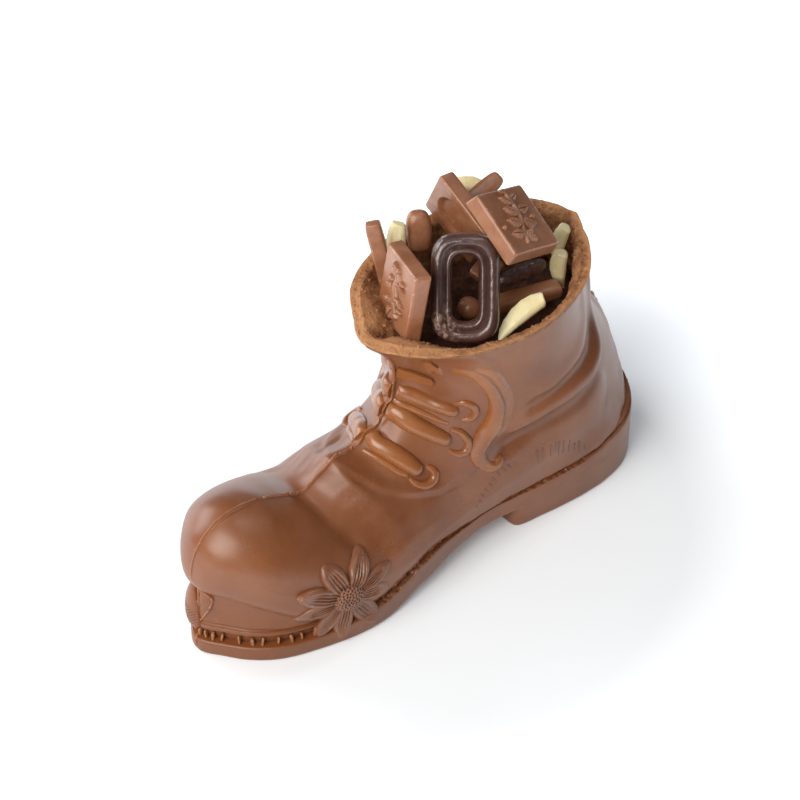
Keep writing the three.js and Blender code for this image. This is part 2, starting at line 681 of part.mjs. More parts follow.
// The frame stands under the middle of the whole
const pieces = [
  { name: 'boot', geometry: geometryOf(bootSolid), material: milk },
  ...fillings,
  { name: 'filling_heap', geometry: geometryOf(heapSolid()), material: milk },
];
const group = new THREE.Group();
pieces.forEach(({ name, geometry, material }) => {
  const mesh = new THREE.Mesh(geometry, material);
  mesh.name = name;
  group.add(mesh);
});
const extent = new THREE.Box3().setFromObject(group);
const middle = extent.getCenter(new THREE.Vector3());
group.children.forEach((mesh) => mesh.geometry.translate(-middle.x, -middle.y, -extent.min.z));

export default group;
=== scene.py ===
import math

import bpy
import bmesh
import numpy as np
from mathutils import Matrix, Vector
from mathutils.bvhtree import BVHTree
from mathutils.noise import fractal


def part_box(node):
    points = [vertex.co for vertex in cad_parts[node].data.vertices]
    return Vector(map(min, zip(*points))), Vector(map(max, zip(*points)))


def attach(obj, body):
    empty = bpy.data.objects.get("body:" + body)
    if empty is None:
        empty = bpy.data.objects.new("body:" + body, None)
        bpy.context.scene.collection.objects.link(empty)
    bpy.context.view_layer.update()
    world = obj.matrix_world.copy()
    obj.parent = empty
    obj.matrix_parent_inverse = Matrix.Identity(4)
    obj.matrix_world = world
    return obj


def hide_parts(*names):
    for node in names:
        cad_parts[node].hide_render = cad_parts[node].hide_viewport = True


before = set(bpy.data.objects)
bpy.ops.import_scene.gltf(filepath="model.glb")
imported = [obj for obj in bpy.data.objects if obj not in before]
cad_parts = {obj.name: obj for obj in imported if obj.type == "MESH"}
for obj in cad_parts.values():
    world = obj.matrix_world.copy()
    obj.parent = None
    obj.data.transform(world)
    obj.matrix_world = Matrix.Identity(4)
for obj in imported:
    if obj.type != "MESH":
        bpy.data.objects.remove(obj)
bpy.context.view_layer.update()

MM = 0.001

# Sizes of the boot, in millimetres
SHELL_WALL = 3.4
RIM_HEIGHT = 96.6
MOUTH_MIDDLE = [29.0, 0, 0]
HEEL_FRONT = 24.0
HEEL_PARING = 0.15       # how much the heel's back is pared to stay inside the solid's box

# The boot's own axes stand a little off the frame's: the small ball's place tells how far
BALL_MIDDLE = np.array([26.8, -0.8, 84.4])
BALL_RADIUS = 4.2
ball_low, ball_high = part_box("milk_ball")
BOOT_MIDDLE = (np.array(ball_low) + np.array(ball_high)) / 2 / MM - BALL_MIDDLE

# Each station is one slanted section of the upper: its front seam point as x and
# z, its base point as x and z, half its width, where along the section it is
# widest, and the fullness of its front and base ends, 2 being an ellipse.
STATIONS = np.array([
    [-95.6, 36.0, -95.6, 36.0, 0.0, 0.50, 2.00, 2.0],
    [-93.8, 45.0, -94.2, 31.5, 6.6, 0.50, 2.00, 2.6],
    [-89.0, 52.2, -89.0, 28.5, 13.5, 0.55, 1.90, 3.2],
    [-80.0, 56.6, -78.5, 21.0, 22.4, 0.60, 1.85, 4.2],
    [-69.0, 55.4, -62.0, 11.0, 28.6, 0.65, 1.80, 6.0],
    [-58.5, 50.4, -41.0, 9.0, 32.0, 0.70, 1.65, 8.0],
    [-49.5, 45.8, -22.0, 11.5, 31.0, 0.75, 1.50, 9.0],
    [-40.0, 46.0, -5.0, 12.5, 29.4, 0.75, 1.45, 9.0],
    [-30.0, 47.2, 13.0, 12.5, 28.9, 0.72, 1.45, 9.0],
    [-20.5, 50.4, 34.0, 12.5, 30.2, 0.68, 1.50, 9.0],
    [-12.5, 56.2, 58.0, 12.5, 32.0, 0.64, 1.60, 8.0],
    [-7.8, 62.8, 82.0, 13.0, 33.0, 0.60, 1.70, 5.0],
    [-6.0, 70.0, 93.0, 23.0, 33.0, 0.52, 1.80, 2.8],
    [-6.3, 77.5, 91.5, 46.0, 32.7, 0.48, 1.85, 2.1],
    [-8.5, 84.5, 82.5, 67.0, 32.3, 0.48, 1.85, 1.9],
    [-13.0, 91.0, 79.0, 83.0, 32.8, 0.50, 1.80, 1.8],
    [-19.8, 96.6, 77.6, 96.9, 33.2, 0.50, 1.75, 1.75],
])

# Half the plan of the sole, from the toe round to the back of the heel
SOLE_PLAN = np.array([
    [-95.4, 0], [-94.6, 3.4], [-91.4, 8], [-85, 16.2], [-76.5, 22.9], [-66, 27.3], [-53, 31.2], [-39.6, 32.9],
    [-20, 31.6], [0, 28.9], [15, 28.7], [32, 31.8], [51, 34.4], [66, 34.4], [78, 31], [88, 22], [93.6, 11],
    [95.4, 0],
])

# Heights along the sole: its underside, its smooth side and its welt
UNDERSIDE = [[-96, 0], [-50, 0], [-38, 0.3], [-20, 4.9], [-5, 7.4], [10, 8.5], [30, 8.8], [96, 8.8]]
SIDE_TOP = [
    [-96, 6.2], [-62, 6.2], [-48, 7.6], [-38.7, 9.1], [-33, 10.4], [-26.8, 12.1], [-19.8, 14.4],
    [-11.5, 15.5], [-3.5, 15.4], [4, 15.2], [9, 15.6], [20, 16.1], [30, 16.4], [42, 17.2], [51, 17.4],
    [60, 18.7], [66, 20], [80, 21.4], [96, 21.6],
]
WELT_TOP = [
    [-96, 13], [-62, 12.6], [-48, 12.4], [-38, 12.8], [-32, 14.3], [-26, 16], [-19, 18.2], [-10.6, 18.4],
    [-2.6, 17.4], [5, 16.9], [10, 17.1], [20, 17.5], [30, 17.8], [42, 18.6], [51, 18.8], [60, 20.1],
    [66, 21.4], [80, 22.8], [96, 23],
]

# The sunk line beside the seam at the laces: its y at each height
SEAM_GROOVE = [
    [54, -1.1], [60.4, -1.3], [63.2, -1.9], [66.2, -2.5], [69.5, -2.5], [73.9, -2.8], [78.1, -3],
    [82.6, -3.6], [89, -4.5],
]

# How far the back of the shaft is drawn in at each height
BACK_DRAW = [[18, 0], [26, 0.7], [34, 1.4], [46, 2.1], [56, 2.2], [68, 1.6], [80, 0.6], [90, 0]]

# Along the sole: how far in the lip over the groove lies, and how far the upper fills out above it
LIP_MARGIN = [
    [-96, 1.25], [-60, 1.25], [-48, 0.6], [-38, 0.8], [-27, 0.6], [-20, 0.4], [-12, 0.3], [-4, -0.1],
    [4, -0.4], [10, -0.7], [20, -0.5], [30, 0.6], [42, 0.85], [51, 0.85], [60, 0.9], [72, 0.9], [80, 0.7],
    [96, 0.5],
]
FILL_OUT = [[26, 0], [34, 0.4], [42, 0.9], [51, 1.4], [60, 1.8], [66, 1.7], [72, 1.5], [80, 0.8], [88, 0]]

# Soft swellings and hollows of the upper as lines in the side view, x and z, with
# how far each stands out and how wide it is
SWELLS = [
    (-1.2, 3.6, [[-48, 47], [-46, 41], [-43, 35]]),
    (-1.5, 2.2, [[-14, 54], [-11.5, 57.5]]),
    (-2.4, 4.2, [[20, 42], [35, 47], [52, 48], [68, 53], [82, 63]]),
    (1.9, 3.8, [[23, 51], [37, 56], [55, 57.5], [67, 63], [77, 75]]),
    (-1.3, 3.2, [[30, 58.5], [44, 62.5], [58, 65], [68, 73], [73, 84]]),
    (1.0, 4.0, [[36, 66], [50, 70], [60, 78], [64, 90]]),
    (1.0, 7.0, [[40, 36], [58, 37], [74, 42], [88, 50]]),
]

# The border of the raised lace panel in the side view
PANEL_BORDER = [
    [4, 99], [13, 88], [17.5, 76], [20, 65], [19.2, 53], [13.5, 42], [5.5, 36.5], [-5.9, 34.4], [-15, 36.2],
    [-24, 39.4], [-31, 45], [-60, 60], [-60, 99],
]
PANEL_RISE = 1.1

# The fold behind the toe cap: where its crest stands and how high, by height
CREST = [[20, -26], [27, -26], [33, -27], [36.5, -28.6], [41, -31.4], [43.7, -33], [46, -34], [50, -35.4]]
CREST_RISE = [[14, 0], [20, 1], [27, 2], [33, 2.7], [38, 3.3], [46, 3.9], [60, 3.9]]

# Places where both sides of the shaft are drawn in, as x, y, z with a depth and a reach
HOLLOWS = [
    (4.0, 15.0, [[64, 22, 92], [70, 20, 80], [76, 19, 68], [80, 19, 58], [79, 23, 50], [78, 27, 42],
                 [78, 29, 36]]),
    (4.2, 11.0, [[-10, 6, 90], [-6, 13, 88], [-2, 17, 85]]),
    (2.4, 8.0, [[-5, 9, 72], [-4, 12, 66]]),
]

# How far the broken rim wanders from its plain outline, by the angle round the mouth
RIM_WANDER = np.array([
    [-180, 0.2], [-164, 0], [-151, 0.3], [-128, 0.4], [-104, -0.2], [-83, 0.1], [-63, 0.3], [-42, 1],
    [-36, 0.6], [-29, 0], [-22, -0.8], [-16, -1.3], [-9, -2.1], [-3, -1], [1, 0.1], [5, -0.2], [11, 0.4],
    [16, 1.3], [21, 1.8], [40, 1.2], [80, 1], [124, 1.8], [134, 2], [141, 1.9], [148, 1.5], [154, 0.5],
    [161, -0.6], [167, -1.2], [173, -0.4], [180, 0.2],
])


def smooth_at(values, t):
    """Values of a list at fractional places, on a smooth curve through it."""
    values = np.asarray(values, float)
    last = len(values) - 1
    i = np.minimum(np.floor(t).astype(int), last - 1)
    u = (t - i)[:, None] if values.ndim > 1 else t - i
    a, b = values[np.maximum(i - 1, 0)], values[i]
    c, d = values[i + 1], values[np.minimum(i + 2, last)]
    return 0.5 * (2 * b + (c - a) * u + (2 * a - 5 * b + 4 * c - d) * u ** 2 + (3 * b - a - 3 * c + d) * u ** 3)


def smoothstep(x):
    x = np.clip(x, 0, 1)
    return x * x * (3 - 2 * x)


def height_at(line, x):
    """The height at x on a line of [x, height] points, eased between them."""
    line = np.asarray(line, float)
    k = np.clip(np.searchsorted(line[:, 0], x, side="right"), 1, len(line) - 1)
    share = (x - line[k - 1, 0]) / (line[k, 0] - line[k - 1, 0])
    return line[k - 1, 1] + (line[k, 1] - line[k - 1, 1]) * smoothstep(share)


def inset(stations, by):
    """Stations drawn in by a thickness, as rows of the same eight values."""
    s = stations.copy()
    run = s[:, 2:4] - s[:, 0:2]
    run /= np.maximum(np.linalg.norm(run, axis=1, keepdims=True), 1e-6)
    s[:, 0:2] += run * by
    s[:, 2:4] -= run * by
    s[:, 4] -= by
    return s


def half_sections(stations, shares):
    """The near halves of sections, from front point to base point, at the given
    shares of their length. Gives an array of rows, columns and x, y, z."""
    angle = np.linspace(0, math.pi, 241)
    c, sn = np.cos(angle), np.sin(angle)
    rows = []
    for fx, fz, bx, bz, half, middle, front_full, base_full in stations:
        full = np.where(c >= 0, front_full, base_full)
        reach = np.sign(c) * np.abs(c) ** (2 / full)
        width = half * np.abs(sn) ** (2 / full)
        along = np.where(c >= 0, middle * (1 - reach), middle - (1 - middle) * reach)
        p = np.stack([fx + (bx - fx) * along, -width, fz + (bz - fz) * along], axis=1)
        run = run_of(p)
        rows.append(points_at(p, run, shares * run[-1]))
    return np.array(rows)


def full_rings(stations, near, far):
    """Whole rings of sections: the near side from the front, then the far side back."""
    near_side = half_sections(stations, np.linspace(0, 1, near + 1))
    far_side = half_sections(stations, np.linspace(0, 1, far + 1))[:, ::-1][:, 1:-1]
    far_side[:, :, 1] *= -1
    return np.concatenate([near_side, far_side], axis=1)


def run_of(points):
    """How far along a line of points each one lies."""
    return np.concatenate([[0], np.cumsum(np.linalg.norm(np.diff(points, axis=0), axis=1))])


def points_at(points, run, want):
    """Points of a line at the wanted distances along it."""
    return np.stack([np.interp(want, run, points[:, k]) for k in range(points.shape[1])], axis=1)


def distance_to_line(x, z, line):
    """Distance in the side view from points to a line of points."""
    best = np.full(x.shape, np.inf)
    for (ax, az), (bx, bz) in zip(line[:-1], line[1:]):
        run = (bx - ax) ** 2 + (bz - az) ** 2
        share = np.clip(((x - ax) * (bx - ax) + (z - az) * (bz - az)) / run, 0, 1)
        best = np.minimum(best, np.hypot(x - ax - share * (bx - ax), z - az - share * (bz - az)))
    return best


def inside(x, z, outline):
    """Whether points of the side view lie inside an outline."""
    found = np.zeros(x.shape, bool)
    for (ax, az), (bx, bz) in zip(outline, outline[1:] + outline[:1]):
        if az == bz:
            continue
        crosses = ((az > z) != (bz > z)) & (x < (bx - ax) * (z - az) / (bz - az) + ax)
        found ^= crosses
    return found


def value_noise(points, scale, depth=2.0, seed=0.0):
    """Soft noise of about -1 to 1 at points, with lumps of the given size in mm."""
    where = (points / scale + seed).reshape(-1, 3)
    return np.array([fractal(Vector(p), 1.0, 2.0, depth) for p in where]).reshape(points.shape[:-1])


def grid_faces(rows, columns):
    """Quads of a grid whose rows are closed rings, then its two end rings."""
    i, j = np.meshgrid(np.arange(rows - 1), np.arange(columns), indexing="ij")
    a, b = i * columns + j, i * columns + (j + 1) % columns
    return np.stack([a, b, b + columns, a + columns], axis=-1).reshape(-1, 4).tolist()


def new_object(name, data):
    """An object of the scene over its mesh, light or camera."""
    made = bpy.data.objects.new(name, data)
    bpy.context.scene.collection.objects.link(made)
    return made


def in_frame(points):
    """Points in millimetres on the boot's own axes, as metres of the frame."""
    return (np.asarray(points, float) + BOOT_MIDDLE) * MM


def build(name, points, faces, material, sharp):
    """A closed mesh piece from points in millimetres on the boot's own axes."""
    mesh = bpy.data.meshes.new(name)
    mesh.from_pydata(in_frame(points).reshape(-1, 3).tolist(), [], faces)
    bm = bmesh.new()
    bm.from_mesh(mesh)
    bmesh.ops.remove_doubles(bm, verts=bm.verts, dist=1e-7)
    bmesh.ops.recalc_face_normals(bm, faces=bm.faces)
    bm.to_mesh(mesh)
    bm.free()
    mesh.polygons.foreach_set("use_smooth", [True] * len(mesh.polygons))
    mesh.set_sharp_from_angle(angle=math.radians(sharp))
    mesh.materials.append(material)
    return new_object(name, mesh)


def ringed(name, rings, material, across=False, sharp=40):
    """A closed piece over rings of points, its ends closed on their middles, or by
    strips across rings whose two sides mirror each other."""
    rings = np.asarray(rings)
    rows, columns = rings.shape[:2]
    faces = grid_faces(rows, columns)
    points = np.concatenate([rings.reshape(-1, 3), [rings[0].mean(axis=0)], [rings[-1].mean(axis=0)]])
    first, last = rows * columns, (rows - 1) * columns
    if across:
        for base in (0, last):
            faces += [[base + 1, base + 0, base + columns - 1]]
            faces += [[base + j, base + columns - j, base + columns - j - 1, base + j + 1]
                      for j in range(1, columns // 2 - 1)]
            middle = columns // 2
            faces += [[base + middle - 1, base + middle + 1, base + middle]]
        return build(name, points[:first], faces, material, sharp)
    faces += [[first, (j + 1) % columns, j] for j in range(columns)]
    faces += [[first + 1, last + j, last + (j + 1) % columns] for j in range(columns)]
    return build(name, points, faces, material, sharp)


def looped(name, rings, material, sharp):
    """A closed ring-shaped piece: both its rows and its columns run round."""
    rings = np.asarray(rings)
    rows, columns = rings.shape[:2]
    faces = grid_faces(rows, columns)
    last = (rows - 1) * columns
    faces += [[last + j, last + (j + 1) % columns, (j + 1) % columns, j] for j in range(columns)]
    return build(name, rings, faces, material, sharp)


def normals_of(rings):
    """Outward normals of a grid of rings, by its rows' and columns' directions."""
    down = np.gradient(rings, axis=0)
    around = (np.roll(rings, -1, axis=1) - np.roll(rings, 1, axis=1)) / 2
    n = np.cross(around, down)
    n /= np.maximum(np.linalg.norm(n, axis=2, keepdims=True), 1e-9)
    outward = rings - rings.mean(axis=1, keepdims=True)
    return n * np.sign(np.median(np.sum(n * outward, axis=2)))


def softer(a, b, by):
    """The smaller of two values, rounded where they cross."""
    return -by * np.logaddexp(-a / by, -b / by)


def crest_relief(x, z):
    """The fold behind the toe cap: a flat slope up to a crest that falls off slowly behind."""
    past = x - height_at(CREST, z)
    behind = np.interp(z, [33, 43], [30, 11])
    soft = np.interp(z, [30, 43], [0.30, 0.05])
    tent = softer(1 + past / 9.0, 1 - past / behind, soft)
    return height_at(CREST_RISE, z) * 0.08 * np.logaddexp(0, tent / 0.08)


def hollow_relief(p):
    """How deep the drawn-in places lie, alike on both sides."""
    q = p * [1, 0, 1] + np.abs(p) * [0, 1, 0]
    deep = np.zeros(p.shape[:-1])
    for depth, reach, line in HOLLOWS:
        gap = np.full(p.shape[:-1], np.inf)
        for a, b in zip(np.array(line[:-1], float), np.array(line[1:], float)):
            share = np.clip(((q - a) @ (b - a)) / np.dot(b - a, b - a), 0, 1)
            gap = np.minimum(gap, np.linalg.norm(q - a - share[..., None] * (b - a), axis=-1))
        deep += depth * np.exp(-(gap / reach) ** 2)
    return deep * smoothstep((q[..., 1] - 0.5) / 7)


def rim_wander(p):
    """Points near the rim, moved out or in round the mouth as the rim wanders."""
    away = (p - MOUTH_MIDDLE) * [1, 1, 0]
    turn = np.degrees(np.arctan2(away[..., 1], away[..., 0]))
    shift = np.interp(turn, RIM_WANDER[:, 0], RIM_WANDER[:, 1]) * smoothstep((p[..., 2] - 84) / 11)
    return p + away / np.linalg.norm(away, axis=-1, keepdims=True) * shift[..., None]


def foot_relief(x, z):
    """The upper near the sole: filled out over the heel and drawn in behind the groove."""
    over = z - height_at(WELT_TOP, x)
    fill = height_at(FILL_OUT, x) * np.exp(-((over - 1) / 7.5) ** 2)
    return fill - 3.0 * smoothstep((-0.2 - over) / 0.9) * smoothstep((x + 54) / 8)


def seam_relief(p):
    """The sunk line beside the seam at the laces, on the near side."""
    x, y, z = p[..., 0], p[..., 1], p[..., 2]
    sunk = np.exp(-((y - height_at(SEAM_GROOVE, z)) / 0.55) ** 2)
    return 0.45 * sunk * smoothstep((z - 53) / 4) * smoothstep((89 - z) / 4) * smoothstep((12 - x) / 4)


def slimming(p):
    """How far the throat's far side and the back of the shaft are drawn in."""
    x, y, z = p[..., 0], p[..., 1], p[..., 2]
    throat = 2.2 * smoothstep((y - 1) / 9) * smoothstep((z - 30) / 22) * smoothstep((92 - z) / 8)
    throat = throat * smoothstep((16 - x) / 14) * smoothstep((x + 44) / 12)
    back = height_at(BACK_DRAW, z) * smoothstep((x - 64) / 16) * smoothstep((10 - y) / 12)
    return throat + back


def upper_relief(p):
    """How far the upper stands out from its plain form at each point."""
    x, z = p[..., 0], p[..., 2]
    lift = sum(rise * np.exp(-(distance_to_line(x, z, line) / spread) ** 2) for rise, spread, line in SWELLS)
    edge = distance_to_line(x, z, PANEL_BORDER)
    edge = np.where(inside(x, z, PANEL_BORDER), edge, -edge)
    lift = lift + PANEL_RISE * smoothstep((edge + 1.4) / 2.8)
    lift = lift + crest_relief(x, z) + foot_relief(x, z) - hollow_relief(p) - seam_relief(p) - slimming(p)
    lift = np.maximum(lift, -3.0 - 0.8 * (1 - np.exp((np.minimum(lift, -3.0) + 3.0) / 0.8)))
    return lift * smoothstep((RIM_HEIGHT - z) / 5)


OUTER_FACE = []          # the finished outer face of the upper, which other pieces are laid on
UPPER_ROWS = 250
UPPER_NEAR = 180
UPPER_FAR = 150
HIDDEN_DEPTH = 1.7       # how far inside the outer face the upper's hidden wall lies


def even_stations(rows, first, last):
    """Places along the stations whose sections lie about evenly apart."""
    t = np.linspace(first, last, 600)
    s = smooth_at(STATIONS, t)
    middle = np.stack([(s[:, 0] + s[:, 2]) / 2, s[:, 4], (s[:, 1] + s[:, 3]) / 2], axis=1)
    front = np.stack([s[:, 0], s[:, 1]], axis=1)
    step = np.linalg.norm(np.diff(middle, axis=0), axis=1) + np.linalg.norm(np.diff(front, axis=0), axis=1)
    run = np.concatenate([[0], np.cumsum(step)])
    return np.interp(np.linspace(0, run[-1], rows), run, t)


def make_upper(material):
    """The moulded upper, from the round toe to the collar, with its folds."""
    rings = full_rings(smooth_at(STATIONS, even_stations(UPPER_ROWS, 0.06, 16.0)), UPPER_NEAR, UPPER_FAR)
    n = normals_of(rings)
    lift = upper_relief(rings) + 0.16 * value_noise(rings, 16.0) * smoothstep((RIM_HEIGHT - rings[..., 2]) / 5)
    rings = rim_wander(rings + n * lift[..., None])
    OUTER_FACE.append(rings)
    inward = rings - normals_of(rings) * HIDDEN_DEPTH
    hidden = inward[np.linspace(UPPER_ROWS - 3, 14, 40).astype(int)]
    return ringed("boot_upper", np.concatenate([rings, hidden]), material)


def catmull(points, steps, closed=False):
    """A smooth curve through points, at even steps of its length."""
    p = np.asarray(points, float)
    if closed:
        p = np.concatenate([p[-1:], p, p[:2]])
        t = np.linspace(1, len(p) - 2, len(points) * 24 + 1)
    else:
        t = np.linspace(0, len(p) - 1, (len(p) - 1) * 24 + 1)
    fine = smooth_at(p, t)
    run = run_of(fine)
    want = np.linspace(0, run[-1], steps + 1)
    return points_at(fine, run, want[:-1] if closed else want)


def sole_outline(count):
    """The closed plan of the sole, near side first, with its outward directions."""
    near = SOLE_PLAN * [1, -1]
    far = SOLE_PLAN[1:-1][::-1]
    spots = catmull(np.concatenate([near, far]), count, closed=True)
    tangent = np.roll(spots, -1, axis=0) - np.roll(spots, 1, axis=0)
    tangent /= np.linalg.norm(tangent, axis=1, keepdims=True)
    out = np.stack([tangent[:, 1], -tangent[:, 0]], axis=1)
    return spots, out


def level_ring(spots, out, margin, height):
    """The sole's plan drawn in by a margin, at a height that may follow x."""
    p = spots - out * (margin[:, None] if np.ndim(margin) else margin)
    z = np.full(len(p), float(height)) if np.ndim(height) == 0 else height
    return np.concatenate([p, z[:, None]], axis=1)


SOLE_COLUMNS = 1120


def along_profile(levels, counts):
    """Rows between levels of (margin, heights), eased in even steps."""
    rows = []
    for (m0, h0), (m1, h1), count in zip(levels[:-1], levels[1:], counts):
        for k in range(count):
            u = k / count
            rows.append((m0 + (m1 - m0) * u, h0 + (h1 - h0) * u))
    return rows + [levels[-1]]


def make_sole(material):
    """The sole with its smooth side, the groove over it and the welt."""
    spots, out = sole_outline(SOLE_COLUMNS)
    x = spots[:, 0]
    under, side, welt = (height_at(line, x) for line in (UNDERSIDE, SIDE_TOP, WELT_TOP))
    lip = height_at(LIP_MARGIN, x)
    deep = 2.7 + 0.5 * smoothstep((-58 - x) / 8)
    levels = [
        (0.8, under), (0.22, under + 0.26), (0.0, under + 0.9), (0.0, side - 1.0), (0.12, side - 0.3),
        (0.55, side), (1.5, side + 0.12), (deep, side + 0.4), (deep, welt - 0.7), (lip + 0.3, welt - 0.3),
        (lip + 0.1, welt - 0.05), (lip + 0.3, welt + 0.1), (lip + 1.0, welt + 0.15), (4.4, welt),
        (6.5, welt - 1.2),
    ]
    counts = [2, 3, 12, 2, 2, 3, 2, 7, 2, 2, 2, 2, 3, 2]
    rows = along_profile(levels, counts)
    rings = np.array([level_ring(spots, out, m, h) for m, h in rows])
    groove = np.array([float(side_share(k, counts)) for k in range(len(rows))])
    pits = pit_mask(spots, x)
    waver = 0.14 * value_noise(rings, 11.0, seed=3.0) + 0.05 * value_noise(rings, 2.6, seed=8.0)
    push = groove[:, None] * pits[None, :] - waver * (1 - groove[:, None]) * 0.8
    rings[..., :2] -= out[None] * push[..., None]
    rings[..., 2] += mouth_share(len(rows), counts)[:, None] * ragged_mouth(spots, x)[None, :]
    rings[..., 0] -= HEEL_PARING * smoothstep((rings[..., 0] - 82) / 13)
    OUTER_FACE.append(rings)
    return ringed("boot_sole", rings, material, across=True)


def side_share(row, counts):
    """How far a row of the sole lies in its groove, from 0 to 1."""
    first, last = sum(counts[:6]), sum(counts[:9])
    return math.sin(math.pi * min(max((row - first + 1) / (last - first + 2), 0), 1)) ** 0.5


def pit_mask(spots, x):
    """Extra depth of the groove: short uneven pits with bridges between them."""
    run = run_of(spots)
    place = np.stack([run, run * 0, run * 0], axis=1)
    ragged = value_noise(place, 2.2, seed=5.0) + 0.5 * value_noise(place, 0.9, seed=9.0)
    depth = 1.7 * smoothstep((ragged + 0.35) / 0.7) - 0.9
    return depth * smoothstep((x + 62) / 12)


def mouth_share(rows, counts):
    """How far each row of the groove's mouth gives way: its lower edge down, its upper edge up."""
    low, high = sum(counts[:5]) + 1, sum(counts[:9]) + 1
    row = np.arange(rows)
    return -0.5 * np.exp(-((row - low) / 2.4) ** 2) + 0.4 * np.exp(-((row - high) / 1.8) ** 2)


def ragged_mouth(spots, x):
    """Where the mouth of the groove is nibbled open along its run, from 0 to 1."""
    run = run_of(spots)
    place = np.stack([run, run * 0, run * 0], axis=1)
    nibbles = smoothstep((value_noise(place, 1.8, seed=15.0) + 0.25) / 0.6)
    return nibbles * smoothstep((x + 52) / 12) * smoothstep((74 - x) / 24)


def make_heel(material):
    """The heel block under the back of the sole."""
    spots, out = sole_outline(SOLE_COLUMNS)
    keep = spots[:, 0] >= HEEL_FRONT
    spots, out = spots[keep], out[keep]
    front = np.linspace(spots[-1], spots[0], 150)[1:-1]
    spots = np.concatenate([spots, front])
    corner = smoothstep((HEEL_FRONT + 5 - spots[:, :1]) / 3)
    for _ in range(60):
        even = (np.roll(spots, 1, axis=0) + np.roll(spots, -1, axis=0)) / 2
        spots = spots + 0.5 * corner * (even - spots)
    tangent = unit(np.roll(spots, -1, axis=0) - np.roll(spots, 1, axis=0))
    out = np.stack([tangent[:, 1], -tangent[:, 0]], axis=1)
    levels = [(2.4, 0.0), (0.75, 0.02), (0.22, 0.24), (0.0, 0.9), (-0.02, 10.4), (-0.02, 12.4), (0.4, 12.8)]
    rows = along_profile([(m, np.full(len(spots), h)) for m, h in levels], [2, 2, 3, 16, 4, 2])
    rings = np.array([level_ring(spots, out, m, h) for m, h in rows])
    waver = 0.14 * value_noise(rings, 11.0, seed=3.0) + 0.05 * value_noise(rings, 2.6, seed=8.0)
    rings[..., :2] += out[None] * waver[..., None] * 0.8
    rings[..., 0] -= HEEL_PARING * smoothstep((rings[..., 0] - 82) / 13)
    return ringed("boot_heel", rings, material)


BAND_TOP = [[-96, 36], [-84, 33], [-72, 24], [-60, 16]]
BAND_SHARES = [0, 0.12, 0.35, 0.6, 0.8, 1.0]
BAND_MARGINS = [1.7, 2.0, 2.8, 3.0, 2.7, 3.8]


def make_toe_band(material):
    """The hollow band between the toe cap and the welt."""
    spots, out = sole_outline(SOLE_COLUMNS)
    keep = spots[:, 0] < -60
    split = int(np.argmin(keep))
    rest = len(keep) - int(np.argmin(keep[::-1]))
    order = np.concatenate([np.arange(rest, len(keep)), np.arange(split)])
    spots, out = spots[order], out[order]
    top = height_at(BAND_TOP, spots[:, 0])
    rows = []
    for share in np.linspace(0, 1, 44):
        margin = np.interp(share, BAND_SHARES, BAND_MARGINS)
        crease = 0.35 * math.exp(-((share - 0.075) / 0.022) ** 2)
        crease -= 0.3 * math.exp(-((share - 0.12) / 0.02) ** 2)
        wear = 0.12 * math.exp(-((share - 0.4) / 0.03) ** 2)
        rows.append(level_ring(spots, out, margin - crease + wear, 11 + (top - 11) * share))
    rings = np.array(rows)
    rings[..., :2] += out[None] * 0.1 * value_noise(rings, 8.0, seed=1.5)[..., None]
    OUTER_FACE.append(rings)
    return ringed("toe_band", rings, material)


RIM_COLUMNS = (300, 260)


